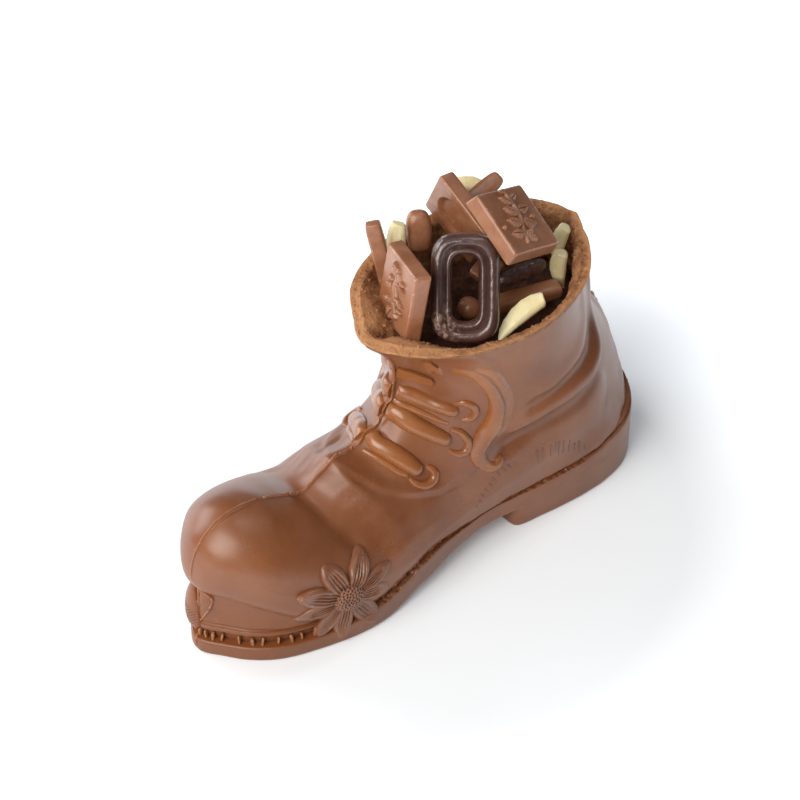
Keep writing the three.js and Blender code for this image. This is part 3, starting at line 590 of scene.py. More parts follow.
def make_rim(material):
    """The broken rim of the boot with the rough wall inside it."""
    loop = [(15.70, 0.05, 0.0), (15.80, -0.06, 0.0), (15.90, -0.10, 0.1), (15.97, -0.15, 0.25),
            (16.0, -0.08, 0.4), (16.0, 0.1, 0.45), (16.0, 0.35, 0.4), (16.0, 0.65, 0.25), (16.0, 0.95, 0.1),
            (16.0, 1.25, -0.05), (16.0, 1.55, -0.2), (16.0, 1.85, -0.4), (15.98, 2.2, -0.5),
            (15.94, 2.55, -0.5), (15.88, 2.9, -0.4), (15.80, 3.15, -0.2)]
    loop += [(t, 3.4 + 1.6 * float(smoothstep((15.0 - t) / 0.8)), 0.0) for t in np.linspace(15.7, 13.2, 34)]
    loop += [(13.1, 4.5, 0.0), (13.4, 4.0, 0.0), (14.2, 3.4, 0.0), (15.0, 2.0, 0.0), (15.6, 1.6, 0.0)]
    places = np.linspace(12.8, 16.0, 33)
    outer = full_rings(smooth_at(STATIONS, places), *RIM_COLUMNS)
    outer = rim_wander(outer + normals_of(outer) * upper_relief(outer)[..., None])
    normals = normals_of(outer)
    rings = []
    for t, by, lift in loop:
        k = min(max((t - places[0]) / (places[1] - places[0]), 0), len(places) - 1.001)
        i, share = int(k), k - int(k)
        spot = outer[i] * (1 - share) + outer[i + 1] * share
        normal = unit(normals[i] * (1 - share) + normals[i + 1] * share)
        rings.append(spot - normal * by + [0, 0, lift])
    rings = np.array(rings)
    rough = np.array([0.1, 0.15, 0.2, 0.35, 0.5] + [0.9] * 11 + [0.8] * 34 + [0] * 5)[:, None]
    coarse, fine = value_noise(rings, 3.2, 3.0, 2.0), value_noise(rings, 0.75, 2.0, 6.0)
    bites = smoothstep((value_noise(rings * [1, 1, 0.5], 2.6, 2.0, 21.0) - 0.12) / 0.16)
    ragged = value_noise(rings * [1, 1, 0], 5.0, 3.0, 12.0)
    top = np.array([0, 0, 0.3, 0.8] + [1.0] * 11 + [0.5] + [0.0] * 39)[:, None]
    rings[..., 2] += top * (0.35 * ragged + rough * (0.22 * coarse + 0.24 * fine - 0.22 * bites))
    inward = np.array([0] * 14 + [0.6] + [1.0] * 35 + [0.0] * 5)[:, None] * rough
    middle = rings.mean(axis=1, keepdims=True)
    toward = (middle - rings) * [1, 1, 0]
    toward /= np.linalg.norm(toward, axis=2, keepdims=True)
    rings += toward * (inward * (0.30 * coarse + 0.26 * fine + 0.1 - 0.25 * bites))[..., None]
    return looped("boot_rim", rings, material, sharp=60), rings


# Round the mouth, in degrees from the heel: how thickly the crumbs lie
CRUMB_SHARE = [
    [-180, 1], [-160, 0.8], [-140, 0.35], [-118, 0.75], [-100, 0.35], [-60, 0.15], [0, 0.25], [60, 0.1],
    [140, 0.25], [165, 1], [180, 1],
]


def make_crumbs(rings, material):
    """Crumbs of broken chocolate on the rim and on the wall inside it."""
    patch = rings[7:38]
    away = patch - MOUTH_MIDDLE
    share = np.interp(np.degrees(np.arctan2(away[..., 1], away[..., 0])), *np.array(CRUMB_SHARE).T)
    mesh = plain_mesh(patch.reshape(-1, 3), faces=grid_faces(*patch.shape[:2]), share=share.ravel())
    return grown("rim_crumbs", crumb_tree(), mesh, material, Size=0.75 * MM, Density=0.32 / MM ** 2, Seed=4)


def plain_mesh(points, edges=(), faces=(), **values):
    """A bare mesh in millimetres on the boot's own axes, with numbers or vectors kept at its points."""
    mesh = bpy.data.meshes.new("base")
    mesh.from_pydata(in_frame(points).tolist(), list(edges), list(faces))
    for name, numbers in values.items():
        numbers = np.asarray(numbers, float)
        kind = "FLOAT" if numbers.ndim == 1 else "FLOAT_VECTOR"
        field = mesh.attributes.new(name, kind, "POINT")
        field.data.foreach_set("value" if numbers.ndim == 1 else "vector", numbers.ravel())
    return mesh


def stroke_mesh(ground, strokes):
    """Thin strokes as joined points on the ground, thickest in their middle."""
    points, edges, thick = [], [], []
    for stroke in strokes:
        start = len(points)
        for k, spot in enumerate(stroke):
            points.append(ground.nearest(spot)[0])
            thick.append(0.25 + 0.75 * math.sin(math.pi * (k + 0.5) / len(stroke)))
        edges += [(start + k, start + k + 1) for k in range(len(stroke) - 1)]
    return plain_mesh(points, edges=edges, thick=thick)


def new_growth(name, **sizes):
    """An empty geometry tree with its base mesh, its named sizes and its material."""
    tree = bpy.data.node_groups.new(name, "GeometryNodeTree")
    tree.interface.new_socket("Geometry", in_out="INPUT", socket_type="NodeSocketGeometry")
    for label, value in sizes.items():
        kind = "NodeSocketInt" if isinstance(value, int) else "NodeSocketFloat"
        tree.interface.new_socket(label, in_out="INPUT", socket_type=kind).default_value = value
    tree.interface.new_socket("Material", in_out="INPUT", socket_type="NodeSocketMaterial")
    tree.interface.new_socket("Geometry", in_out="OUTPUT", socket_type="NodeSocketGeometry")
    return Wire(tree), tree.nodes.new("NodeGroupInput").outputs


def close_growth(w, given, shape):
    """Realise what the tree made, give it its material and pass it out."""
    loose = w.node("GeometryNodeRealizeInstances", "Geometry", {"Geometry": shape})
    painted = w.node("GeometryNodeSetMaterial", "Geometry", {"Geometry": loose, "Material": given["Material"]})
    w.fill(w.tree.nodes.new("NodeGroupOutput"), {"Geometry": painted})
    return w.tree


def kept_field(w, name, kind):
    """Read numbers that the base mesh keeps at its points."""
    return w.node("GeometryNodeInputNamedAttribute", "Attribute", {"Name": name}, data_type=kind)


def stroke_tree():
    """Thin round strokes along the edges of the base mesh."""
    w, given = new_growth("strokes", Thickness=0.0003)
    curve = w.node("GeometryNodeMeshToCurve", "Curve", {"Mesh": given["Geometry"]})
    thick = kept_field(w, "thick", "FLOAT")
    curve = w.node("GeometryNodeSetCurveRadius", "Curve", {"Curve": curve, "Radius": thick})
    profile = w.node("GeometryNodeCurvePrimitiveCircle", "Curve", {
        "Resolution": 6, "Radius": given["Thickness"]})
    solid = w.node("GeometryNodeCurveToMesh", "Mesh", {
        "Curve": curve, "Profile Curve": profile, "Fill Caps": True})
    return close_growth(w, given, solid)


def stitch_tree():
    """A soft-edged bar set on each point, with the point's own turn and size."""
    w, given = new_growth("stitches", Length=0.004, Width=0.0012, Depth=0.002)
    sizes = {"X": given["Depth"], "Y": given["Width"], "Z": given["Length"]}
    size = w.node("ShaderNodeCombineXYZ", "Vector", sizes)
    bar = w.node("GeometryNodeMeshCube", "Mesh", {"Size": size, "Vertices Z": 4})
    soft = w.node("GeometryNodeSubdivisionSurface", "Mesh", {"Mesh": bar, "Level": 2})
    rows = w.node("GeometryNodeInstanceOnPoints", "Instances", {
        "Points": given["Geometry"], "Instance": soft,
        "Rotation": kept_field(w, "turn", "FLOAT_VECTOR"), "Scale": kept_field(w, "size", "FLOAT_VECTOR")})
    return close_growth(w, given, rows)


def crumb_tree():
    """Small uneven crumbs strewn over the base mesh, thickest where its share is high."""
    w, given = new_growth("crumbs", Size=0.001, Density=200000.0, Seed=1)
    seed = given["Seed"]
    density = w.times(kept_field(w, "share", "FLOAT"), given["Density"])
    strewn = w.node("GeometryNodeDistributePointsOnFaces", "Points", {
        "Mesh": given["Geometry"], "Density": density, "Seed": seed}, distribute_method="RANDOM")
    grain = w.node("GeometryNodeMeshIcoSphere", "Mesh", {"Radius": given["Size"], "Subdivisions": 2})
    chance = w.node("FunctionNodeRandomValue", "Value", {"Seed": seed}, data_type="FLOAT")
    turn, squash = (
        w.node("FunctionNodeRandomValue", "Value", {"Min": low, "Max": high, "Seed": seed},
               data_type="FLOAT_VECTOR")
        for low, high in (((0, 0, 0), (6.283, 6.283, 6.283)), ((0.7, 0.6, 0.45), (1.3, 1.0, 0.9))))
    small = w.span(w.math("POWER", chance, 2.6), 0.0, 1.0, 0.28, 1.0)
    crumbs = w.node("GeometryNodeInstanceOnPoints", "Instances", {
        "Points": strewn, "Instance": grain, "Rotation": turn, "Scale": w.scaled(squash, small)})
    loose = w.node("GeometryNodeRealizeInstances", "Geometry", {"Geometry": crumbs})
    bumps = w.node("ShaderNodeTexNoise", "Color", {"Scale": 1900.0, "Detail": 1.0})
    shift = w.scaled(w.vector("SUBTRACT", "Vector", bumps, (0.5, 0.5, 0.5)), given["Size"])
    uneven = w.node("GeometryNodeSetPosition", "Geometry", {"Geometry": loose, "Offset": shift})
    return close_growth(w, given, uneven)


def grown(name, tree, mesh, material, **sizes):
    """A plain piece grown from a base mesh by a geometry tree with the given sizes."""
    base = new_object(name + "_base", mesh)
    growth = base.modifiers.new("growth", "NODES")
    growth.node_group = tree
    for socket in tree.interface.items_tree:
        if socket.in_out == "INPUT" and socket.name in sizes:
            growth[socket.identifier] = sizes[socket.name]
        if socket.in_out == "INPUT" and socket.name == "Material":
            growth[socket.identifier] = material
    made = bpy.data.meshes.new_from_object(base.evaluated_get(bpy.context.evaluated_depsgraph_get()))
    bpy.data.objects.remove(base)
    made.name = name
    return new_object(name, made)


class Ground:
    """A surface that other pieces are laid on, from grids of rings."""

    def __init__(self, *grids):
        points, faces = [], []
        for grid in grids:
            start = len(points)
            points += in_frame(grid.reshape(-1, 3)).tolist()
            faces += [[start + i for i in face] for face in grid_faces(*grid.shape[:2])]
        self.tree = BVHTree.FromPolygons(points, faces)

    def nearest(self, p):
        """The nearest surface point and its normal, on the boot's own axes."""
        found = self.tree.find_nearest(Vector(in_frame(p)))
        spot = np.array(found[0]) / MM - BOOT_MIDDLE
        normal = np.array(found[1])
        return spot, -normal if np.dot(normal, spot - [spot[0] * 0.9, 0, 30]) < 0 else normal

    def cast(self, start, direction):
        """The first surface point that a ray meets, or None."""
        found = self.tree.ray_cast(Vector(in_frame(start)), Vector(direction))
        return None if found[0] is None else np.array(found[0]) / MM - BOOT_MIDDLE


def unit(v):
    v = np.asarray(v, float)
    return v / np.maximum(np.linalg.norm(v, axis=-1, keepdims=True), 1e-9)


def mirrored(points, dx=0.0, dz=0.0):
    """Points carried over to the far side of the boot."""
    return np.asarray(points, float) * [1, -1, 1] + [dx, 0, dz]


def rounding(u):
    """The rise of a quarter circle over u from 0 to 1, and 1 beyond."""
    return np.sqrt(np.clip(1 - (1 - np.clip(u, 0, 1)) ** 2, 0, 1))


def soften(field, rounds):
    """Rows of values averaged with their neighbours a few times."""
    for _ in range(rounds):
        padded = np.concatenate([field[:1], field, field[-1:]])
        field = (padded[:-2] + 2 * padded[1:-1] + padded[2:]) / 4
    return field


RIDGE_SINK = 0.9         # how deep a laid ridge reaches into the ground


def laid_ridge(name, ground, path, width, height, material, step=0.45, across=17, fillet=0.35, flat=2.3,
               round_start=True, ragged=0.0, tilt=0.0, seed=0.0, follow=1.0, straight=False):
    """A ridge laid on the ground along a path. Width is its half width and height how
    far it stands out, each a number or a list of values along the path. Follow tells
    how closely its sides keep to the ground; a straight one bridges the ground's dips."""
    path = np.array([ground.nearest(p)[0] for p in np.asarray(path, float)])
    if straight:
        path = np.array([path[0], (path[0] + path[-1]) / 2, path[-1]])
    length = np.linalg.norm(np.diff(path, axis=0), axis=1).sum()
    rows = max(int(length / step), 8)
    line = catmull(path, rows)
    place = np.linspace(0, 1, rows + 1)
    wide = np.interp(place, np.linspace(0, 1, np.size(width)), np.atleast_1d(width))
    high = np.interp(place, np.linspace(0, 1, np.size(height)), np.atleast_1d(height))
    run = run_of(line)
    grounded = [ground.nearest(p) for p in line]
    spots = soften(np.array([g[0] for g in grounded]), 3)
    normals = unit(soften(np.array([g[1] for g in grounded]), 6))
    if straight:
        spots = line
        normals = np.tile(unit(normals.mean(axis=0)), (rows + 1, 1))
    tangents = unit(soften(np.gradient(spots, axis=0), 2))
    sides = unit(np.cross(normals, tangents))
    end_round = rounding((run[-1] - run) / wide[-1])
    if round_start:
        end_round = np.minimum(end_round, rounding(run / wide[0]))
    end_round = np.maximum(end_round, 0.06)
    if ragged:
        jitter = np.stack([run, run * 0 + seed, run * 0], axis=1)
        wide = wide * (1 + ragged * value_noise(jitter, 1.7, 2.0, 4.0 + seed))
        high = high * (1 + ragged * 1.2 * value_noise(jitter, 1.3, 2.0, 9.0 + seed))
    u = np.sin(np.linspace(-1, 1, across) * math.pi / 2)
    shape = np.maximum((1 - np.abs(u) ** flat) ** (1 / flat), 0)
    tops, bottoms = [], []
    for i in range(rows + 1):
        w = wide[i] * end_round[i] + fillet
        top, bottom = [], []
        for uk, hk in zip(u, shape):
            target = spots[i] + sides[i] * uk * w
            ground_spot = target + (np.array(ground.nearest(target)[0]) - target) * follow
            rise = high[i] * (end_round[i] ** 0.7) * hk * (1 + tilt * uk)
            skirt = -(0.12 + 0.5 * (1 - follow)) * (1 - hk)
            top.append(ground_spot + normals[i] * (rise + skirt))
            bottom.append(ground_spot + normals[i] * -RIDGE_SINK)
        tops.append(top)
        bottoms.append(bottom[::-1])
    rings = np.concatenate([np.array(tops), np.array(bottoms)], axis=1)
    return ringed(name, rings, material)


# Each lace on the near side, from the seam to its end, with its half widths and heights
LACES = [
    ([[-6.3, -3.3, 77.3], [-3.3, -7.5, 76.1], [0.3, -12.6, 75.0]], [2.2, 2.0, 1.2], [1.9, 2.1, 1.1]),
    ([[-6.3, -3.2, 68.3], [-4.2, -6.0, 67.1], [-2.1, -8.7, 65.9], [-0.2, -11.6, 64.9], [1.6, -14.7, 64.2],
      [3.5, -17.6, 63.5], [5.5, -19.9, 62.6]],
     [2.7, 2.8, 2.8, 2.7, 2.6, 2.4, 2.0], [1.6, 2.3, 2.5, 2.5, 2.5, 2.4, 1.9]),
    ([[-9.7, -2.3, 60.0], [-8.2, -5.5, 59.2], [-6.4, -9.4, 57.2], [-2.8, -14.4, 54.5], [2.2, -19.6, 50.6]],
     [3.1, 3.3, 3.1, 2.7, 2.2], [1.7, 2.5, 2.6, 2.5, 1.9]),
    ([[-19.0, -0.8, 52.6], [-17.8, -4.4, 51.5], [-15.8, -8.8, 49.8], [-13.0, -13.4, 46.7], [-9.8, -18.3, 42.4]],
     [2.6, 3.0, 3.2, 3.0, 2.3], [1.4, 2.3, 2.7, 2.6, 2.0]),
]
LACE_RINGS = [
    [[4.4, -18.8, 66.1], [6.4, -21.1, 67.6], [9.0, -23.1, 65.8], [9.9, -23.4, 62.3], [8.7, -22.4, 59.2],
     [6.0, -20.4, 58.7]],
    [[2.7, -18.4, 55.3], [5.5, -20.4, 53.8], [7.5, -22.5, 49.8], [6.6, -23.4, 46.4], [3.3, -22.2, 45.8],
     [0.7, -20.0, 48.0]],
    [[-7.8, -17.9, 44.4], [-5.7, -20.1, 42.1], [-6.5, -21.3, 39.5], [-9.9, -20.9, 38.3], [-12.9, -19.0, 39.6],
     [-14.2, -16.8, 42.0]],
]
LOOSE_LACE = [
    [3.4, -18.4, 82], [7.4, -23.7, 82], [11.4, -26.4, 77], [14.5, -27.3, 70.4], [16.1, -27.2, 62.7],
    [15.2, -26, 54.4], [12, -24.9, 48.8], [9.6, -24.9, 44.4], [10.4, -26.2, 40.4], [12.8, -27.6, 37.2],
    [15.6, -28.3, 36], [17.7, -28.1, 37.2], [17.3, -27.2, 39.4],
]


def make_laces(ground, material):
    """Four rows of laces, the rings at their ends and the loose end, on both sides."""
    made = []
    seam = np.array(sorted(SEAM_LACES, key=lambda p: p[2]))
    for side, turn in (("near", lambda p: np.asarray(p, float)), ("far", lambda p: mirrored(p, 0.9, -1.4))):
        for number, (path, width, height) in enumerate(LACES, 1):
            path = turn(path)
            path[0, :2] = [np.interp(path[0, 2], seam[:, 2], seam[:, axis]) for axis in (0, 1)]
            path[0, 1] += -1.0 if side == "near" else 1.0
            follow = 1.0 if side == "far" else 0.4 * (number > 1)
            made.append(laid_ridge(f"lace_{number}_{side}", ground, path, width, height, material, flat=2.0,
                                   fillet=0.3, round_start=False, follow=follow, straight=number == 1))
        for number, path in enumerate(LACE_RINGS, 2):
            made.append(laid_ridge(f"lace_ring_{number}_{side}", ground, turn(path),
                                   [0.5, 1.1, 1.3, 1.3, 1.0, 0.4], [0.5, 1.2, 1.4, 1.4, 1.0, 0.3], material,
                                   flat=2.0, fillet=0.3))
        made.append(laid_ridge(f"loose_lace_{side}", ground, turn(LOOSE_LACE),
                               [0.9, 1.1, 1.2, 1.3, 1.5, 2.1, 2.7, 3.0, 2.9, 2.2, 1.5, 1.1, 0.8],
                               [0.05, 0.2, 0.4, 0.9, 1.6, 2.2, 2.4, 2.5, 2.2, 1.5, 1.1, 1.0, 0.5],
                               material, flat=2.1, fillet=0.8, across=21))
    return made


def make_strands(ground, material):
    """Thin second strands beside the laces, a crease round the loose end and a small tongue."""
    lines = {
        "strand_middle": ([[-8.2, -1.6, 64.2], [-4.6, -7.6, 61.9], [-1.1, -12.7, 59.7], [3.1, -17.9, 57.2]],
                          [0.7, 0.9, 0.8, 0.4], [0.8, 1.0, 0.8, 0.3]),
        "strand_low": ([[-22.6, -2.2, 50.2], [-19.8, -8.3, 47.9], [-16.2, -14.2, 44.1], [-13.8, -16.5, 42.6]],
                       [0.5, 0.8, 0.8, 0.6], [0.5, 0.8, 0.8, 0.5]),
        "crease": ([[7.8, -24.7, 85.3], [13.8, -28.2, 81.2], [19.3, -28.7, 69.8], [20.9, -28.1, 60.3],
                    [19.3, -27.7, 53.0], [17.8, -25.9, 47.1]],
                   [0.5, 0.8, 0.9, 0.8, 0.5], [0.05, 0.22, 0.28, 0.22, 0.05]),
        "tongue": ([[-2.2, -12.0, 86.0], [-1.0, -11.9, 83.3], [0.7, -13.4, 81.0], [1.6, -14.5, 78.2]],
                   [0.5, 1.1, 1.2, 0.5], [0.05, 0.35, 0.4, 0.05]),
    }
    made = []
    for name, (path, width, height) in lines.items():
        soft = 0.9 if name in ("crease", "tongue") else 0.4
        for side, line in (("_near", path), ("_far", mirrored(path, 0.6, -0.6))):
            made.append(laid_ridge(name + side, ground, line, width, height, material, flat=1.9, fillet=soft))
    return made


def flash(name, ground, path, width, height, material, ragged, seed, step=0.3, fillet=0.1):
    """A thin ragged line of chocolate that was pressed out between two moulds."""
    return laid_ridge(name, ground, path, width, height, material, step=step, across=9, ragged=ragged, flat=1.6,
                      fillet=fillet, seed=seed)


def front_seam_path(first, last, count):
    """Points of the front seam between two places along the stations."""
    s = smooth_at(STATIONS, np.linspace(first, last, count))
    return np.stack([s[:, 0], np.zeros(count), s[:, 1]], axis=1)


SEAM_VAMP = [
    [-64, 0, 53], [-57.6, 0, 49.6], [-51.7, 0, 46.9], [-48.4, 0, 45.8], [-43.8, 0, 46.3], [-40.3, 0, 47.8],
    [-37.1, 0, 49.1], [-34.9, 0, 49.7], [-30.5, 0.1, 49.4], [-24.5, 0.2, 49.3],
]
SEAM_LACES = [
    [-29, 0, 49.4], [-24.5, 0.3, 49.2], [-21.3, -0.3, 49.6], [-18.2, 0.3, 52.2], [-14, -0.2, 53.6],
    [-11.8, 0, 56.4], [-10.4, -0.2, 59.4], [-9.1, -0.8, 62.4], [-7.8, -1.6, 65.5], [-7.1, -1.5, 68.7],
    [-6.8, -1.6, 72.4], [-7.2, -1.6, 77.4], [-8.3, -1.9, 82], [-10.2, -1.1, 86.4], [-13.4, -0.4, 91],
    [-17.2, 0, 95],
]


def make_seams(ground, material):
    """The flash along the seam of the two halves, thicker and ragged at the laces."""
    cap = front_seam_path(0.15, 4.2, 24)
    laces = np.array(SEAM_LACES, float)
    back = smooth_at(STATIONS, np.linspace(12.4, 15.6, 14))
    back = np.stack([back[:, 2], np.zeros(14), back[:, 3]], axis=1)
    return [
        flash("seam_cap", ground, cap, 0.26, [0.4, 0.5, 0.5, 0.45, 0.5], material, 0.35, 1.0),
        flash("seam_vamp", ground, SEAM_VAMP, [0.3, 0.4, 0.46, 0.5, 0.46], [0.6, 0.9, 1.1, 1.2, 1.2], material,
              0.45, 2.0, step=0.22),
        laid_ridge("seam_laces", ground, laces + [0, 0.1, 0], [0.26, 0.34, 0.36, 0.36, 0.36, 0.32, 0.2],
                   [0.9, 1.3, 1.5, 1.5, 1.4, 1.1, 0.5], material, step=0.25, across=11, ragged=0.35, flat=1.5,
                   fillet=0.1, tilt=0.2, seed=3.0),
        flash("seam_back", ground, back, [0.3, 0.4, 0.6, 0.4], [0.5, 0.8, 1.0, 0.5], material, 0.5, 6.0),
    ]


FLOWER_MIDDLE = np.array([-52.0, -31.5, 19.8])
FLOWER_FACE = np.array([-0.25, -0.876, 0.412])
# Each petal: the place of its tip on the flower's face, its half width, how blunt its end is and its height
PETALS = [
    ([7.8, 16.8], 4.3, 0.2, 2.3), ([-9.2, 18.6], 4.3, 0.45, 2.4), ([-20.4, 10.2], 4.5, 0.3, 2.3),
    ([-21.0, -0.8], 3.5, 0.15, 2.0), ([-13.0, -12.4], 3.3, 0.6, 1.8), ([-4.6, -15.9], 3.7, 0.6, 1.7),
    ([9.6, -14.2], 4.2, 1.0, 1.3), ([15.2, -1.8], 3.4, 0.5, 1.2), ([17.2, 7.4], 3.2, 0.2, 1.9),
]
DISC_MIDDLE = [-1.2, 1.3]
DISC_RADIUS = 5.9


def flower_frame():
    """The flower's own directions: out of its face, along its first axis and across."""
    face = unit(FLOWER_FACE)
    right = unit(np.cross([0, 0, 1], face))
    return right, np.cross(face, right), face


def flower_ground(ground):
    """A smooth curved sheet through the surfaces behind the flower."""
    right, up, face = flower_frame()
    rows, depths = [], []
    for a in np.linspace(-18, 18, 25):
        for b in np.linspace(-18, 18, 25):
            if math.hypot(a, b) > 18:
                continue
            start = FLOWER_MIDDLE + right * a + up * b + face * 25
            hit = ground.cast(start, -face)
            if hit is not None and np.dot(hit - FLOWER_MIDDLE, face) > -9:
                rows.append(face_powers(a, b))
                depths.append(np.dot(hit - FLOWER_MIDDLE, face))
    rows, depths = np.array(rows), np.array(depths)
    weight = np.ones(len(depths))
    for _ in range(6):
        sheet = np.linalg.lstsq(rows * weight[:, None], depths * weight, rcond=None)[0]
        weight = np.where(depths - rows @ sheet > 0, 1.6, 1.0)
    return sheet


def face_powers(a, b):
    """The terms of the curved sheet behind the flower."""
    return [a * 0 + 1, a, b, a * a, a * b, b * b, a ** 3, a * a * b, a * b * b, b ** 3]


def on_flower(sheet, a, b, rise):
    """The point that stands a rise over the sheet at the flower's a and b."""
    right, up, face = flower_frame()
    a, b = np.asarray(a, float), np.asarray(b, float)
    depth = sum(share * term for share, term in zip(sheet, face_powers(a, b)))
    return (FLOWER_MIDDLE + np.asarray(a)[..., None] * right + np.asarray(b)[..., None] * up
            + (depth + rise)[..., None] * face)


def make_petal(name, sheet, tip, width, blunt, height, material):
    """One convex petal with dark grooves along it."""
    u = np.linspace(0, 1, 64)[:, None]
    v = np.linspace(-1, 1, 41)[None, :]
    tip = np.array(tip, float) - DISC_MIDDLE
    length, turn = np.linalg.norm(tip), math.atan2(tip[1], tip[0])
    half = width * (0.52 + 0.48 * np.sin(math.pi * np.clip(u / 1.15, 0, 1) ** 0.9))
    half = half * (1 - u ** (3.2 + 5 * blunt)) ** 0.62 + 0.1
    reach = 4.3 + (length - 4.3) * u
    side = v * half
    a = DISC_MIDDLE[0] + reach * math.cos(turn) - side * math.sin(turn)
    b = DISC_MIDDLE[1] + reach * math.sin(turn) + side * math.cos(turn)
    dome = (1 - np.abs(v) ** 2.5) ** 0.55
    grooves = sum(deep * np.exp(-((v - line * (1 - 0.45 * u)) / 0.13) ** 2)
                  for line, deep in ((-0.56, 0.7), (-0.20, 1.0), (0.16, 1.0), (0.52, 0.8)))
    grooves = grooves * smoothstep((0.86 - u) / 0.34) * (0.75 + 0.6 * height / 2)
    tall = 1.15 * height * (0.62 + 0.38 * smoothstep(u / 0.35)) * (1 - 0.35 * u ** 3)
    ends = smoothstep((1 - u) / 0.06)
    rise = tall * dome * ends - grooves * dome - 0.25
    wobble = 0.08 * value_noise(np.stack([a, b, a * 0], axis=-1), 2.4, seed=length)
    top = on_flower(sheet, a, b, rise + wobble)
    bottom = on_flower(sheet, a, b, np.full(rise.shape, -2.4))[:, ::-1]
    return ringed(name, np.concatenate([top, bottom], axis=1), material)


def make_flower(ground, material):
    """The flower on the side of the toe: petals round a seeded disc."""
    sheet = flower_ground(ground)
    made = []
    for number, petal in enumerate(PETALS, 1):
        made.append(make_petal(f"petal_{number}", sheet, *petal, material))
    made.append(make_disc(sheet, material))
    return made


def make_disc(sheet, material):
    """The disc of the flower, covered with small seeds."""
    angles = np.linspace(0, 2 * math.pi, 132, endpoint=False)
    seeds = [(0.94 * DISC_RADIUS * math.sqrt((k + 0.5) / 66), k * 2.399963) for k in range(66)]
    spots = np.array([[r * math.cos(t), r * math.sin(t)] for r, t in seeds])
    rings = []
    for radius in np.linspace(0.12, DISC_RADIUS, 56):
        a, b = radius * np.cos(angles), radius * np.sin(angles)
        gap = np.sqrt((a[:, None] - spots[:, 0]) ** 2 + (b[:, None] - spots[:, 1]) ** 2).min(axis=1)
        pits = -0.95 * np.exp(-(gap / 0.38) ** 2)
        crown = 2.5 * (1 - (radius / (DISC_RADIUS + 0.25)) ** 5)
        rings.append(on_flower(sheet, a + DISC_MIDDLE[0], b + DISC_MIDDLE[1], crown + pits - 0.1))
    foot = DISC_RADIUS * np.array([np.cos(angles), np.sin(angles)])
    low = np.full(len(angles), -2.2)
    rings.append(on_flower(sheet, foot[0] + DISC_MIDDLE[0], foot[1] + DISC_MIDDLE[1], low))
    return ringed("flower_disc", np.array(rings), material)


def make_lip(material):
    """The far corner of the toe welt with slanting cuts across it."""
    rows, columns = 150, 180
    rings = []
    for tilt in np.linspace(0.012, math.pi - 0.012, rows):
        around = np.linspace(0, 2 * math.pi, columns, endpoint=False)
        slim = 1 - 0.38 * math.cos(tilt)
        p = np.stack([3.4 * slim * math.sin(tilt) * np.cos(around),
                      6.0 * slim * math.sin(tilt) * np.sin(around),
                      np.full(columns, 10.5 * math.cos(tilt))], axis=1)
        n = unit(p / [3.4 ** 2, 6.0 ** 2, 10.5 ** 2])
        wave = ((p[:, 2] * 0.8 + p[:, 1] * 0.9) / 1.15) % 1.0
        cut = 0.34 * np.exp(-((wave - 0.5) / 0.16) ** 2)
        cut = cut * smoothstep((3.5 - p[:, 2]) / 4) * smoothstep((9.2 + p[:, 2]) / 2)
        rings.append(p - n * (cut + 0.05)[:, None])
    rings = np.array(rings)
    turn = np.array([[math.cos(-0.5), -math.sin(-0.5), 0], [math.sin(-0.5), math.cos(-0.5), 0], [0, 0, 1]])
    return ringed("toe_lip", rings @ turn.T + [-91.3, 4.6, 17.2], material)


def rounded_outline(corners, radius, count):
    """A closed outline through corners, each rounded off."""
    corners = np.asarray(corners, float)
    points = []
    for before, here, after in zip(np.roll(corners, 1, axis=0), corners, np.roll(corners, -1, axis=0)):
        a, b = unit(before - here), unit(after - here)
        bend = math.acos(np.clip(np.dot(a, b), -1, 1))
        room = min(np.linalg.norm(before - here) / 2.05, np.linalg.norm(after - here) / 2.05)
        cut = min(radius / math.tan(bend / 2), room)
        start, finish = here + a * cut, here + b * cut
        for k in range(9):
            u = k / 8
            points.append((1 - u) ** 2 * start + 2 * u * (1 - u) * here + u * u * finish)
    points = np.array(points + points[:1])
    run = run_of(points)
    return points_at(points, run, np.linspace(0, run[-1], count + 1)[:-1])


# Places of the toe's stitches on the near side, x and y, from the seam to the flower
STITCHES = [
    [-93.2, -0.4], [-92.5, -2.6], [-91.4, -4.4], [-89.3, -7.2], [-85.9, -11.8], [-82.9, -15.1],
    [-80.1, -17.7], [-76, -20.7], [-71.9, -22.7], [-68.6, -24.1], [-64.5, -26],
]


def make_stitches(material):
    """The row of stitches in the groove round the toe, on both sides."""
    spots, out = sole_outline(SOLE_COLUMNS)
    points, turns, sizes = [], [], []
    for side in (1, -1):
        for number, place in enumerate(STITCHES):
            if side < 0 and number == 0:
                continue
            k = int(np.argmin(np.linalg.norm(spots - np.array(place) * [1, side], axis=1)))
            points.append(np.append(spots[k] - out[k] * 1.95, 8.0 + 0.35 * math.sin(number * 2.1)))
            lean = 0.16 * math.sin(number * 1.7)
            turns.append((lean, 0.0, math.atan2(out[k][1], out[k][0])))
            sizes.append((1.0, 1.0 + 0.2 * math.sin(number * 4.1), 1.0 + 0.16 * math.sin(number * 3.3)))
    return grown("toe_stitches", stitch_tree(), plain_mesh(points, turn=turns, size=sizes), material,
                 Length=3.7 * MM, Width=1.2 * MM, Depth=1.9 * MM)


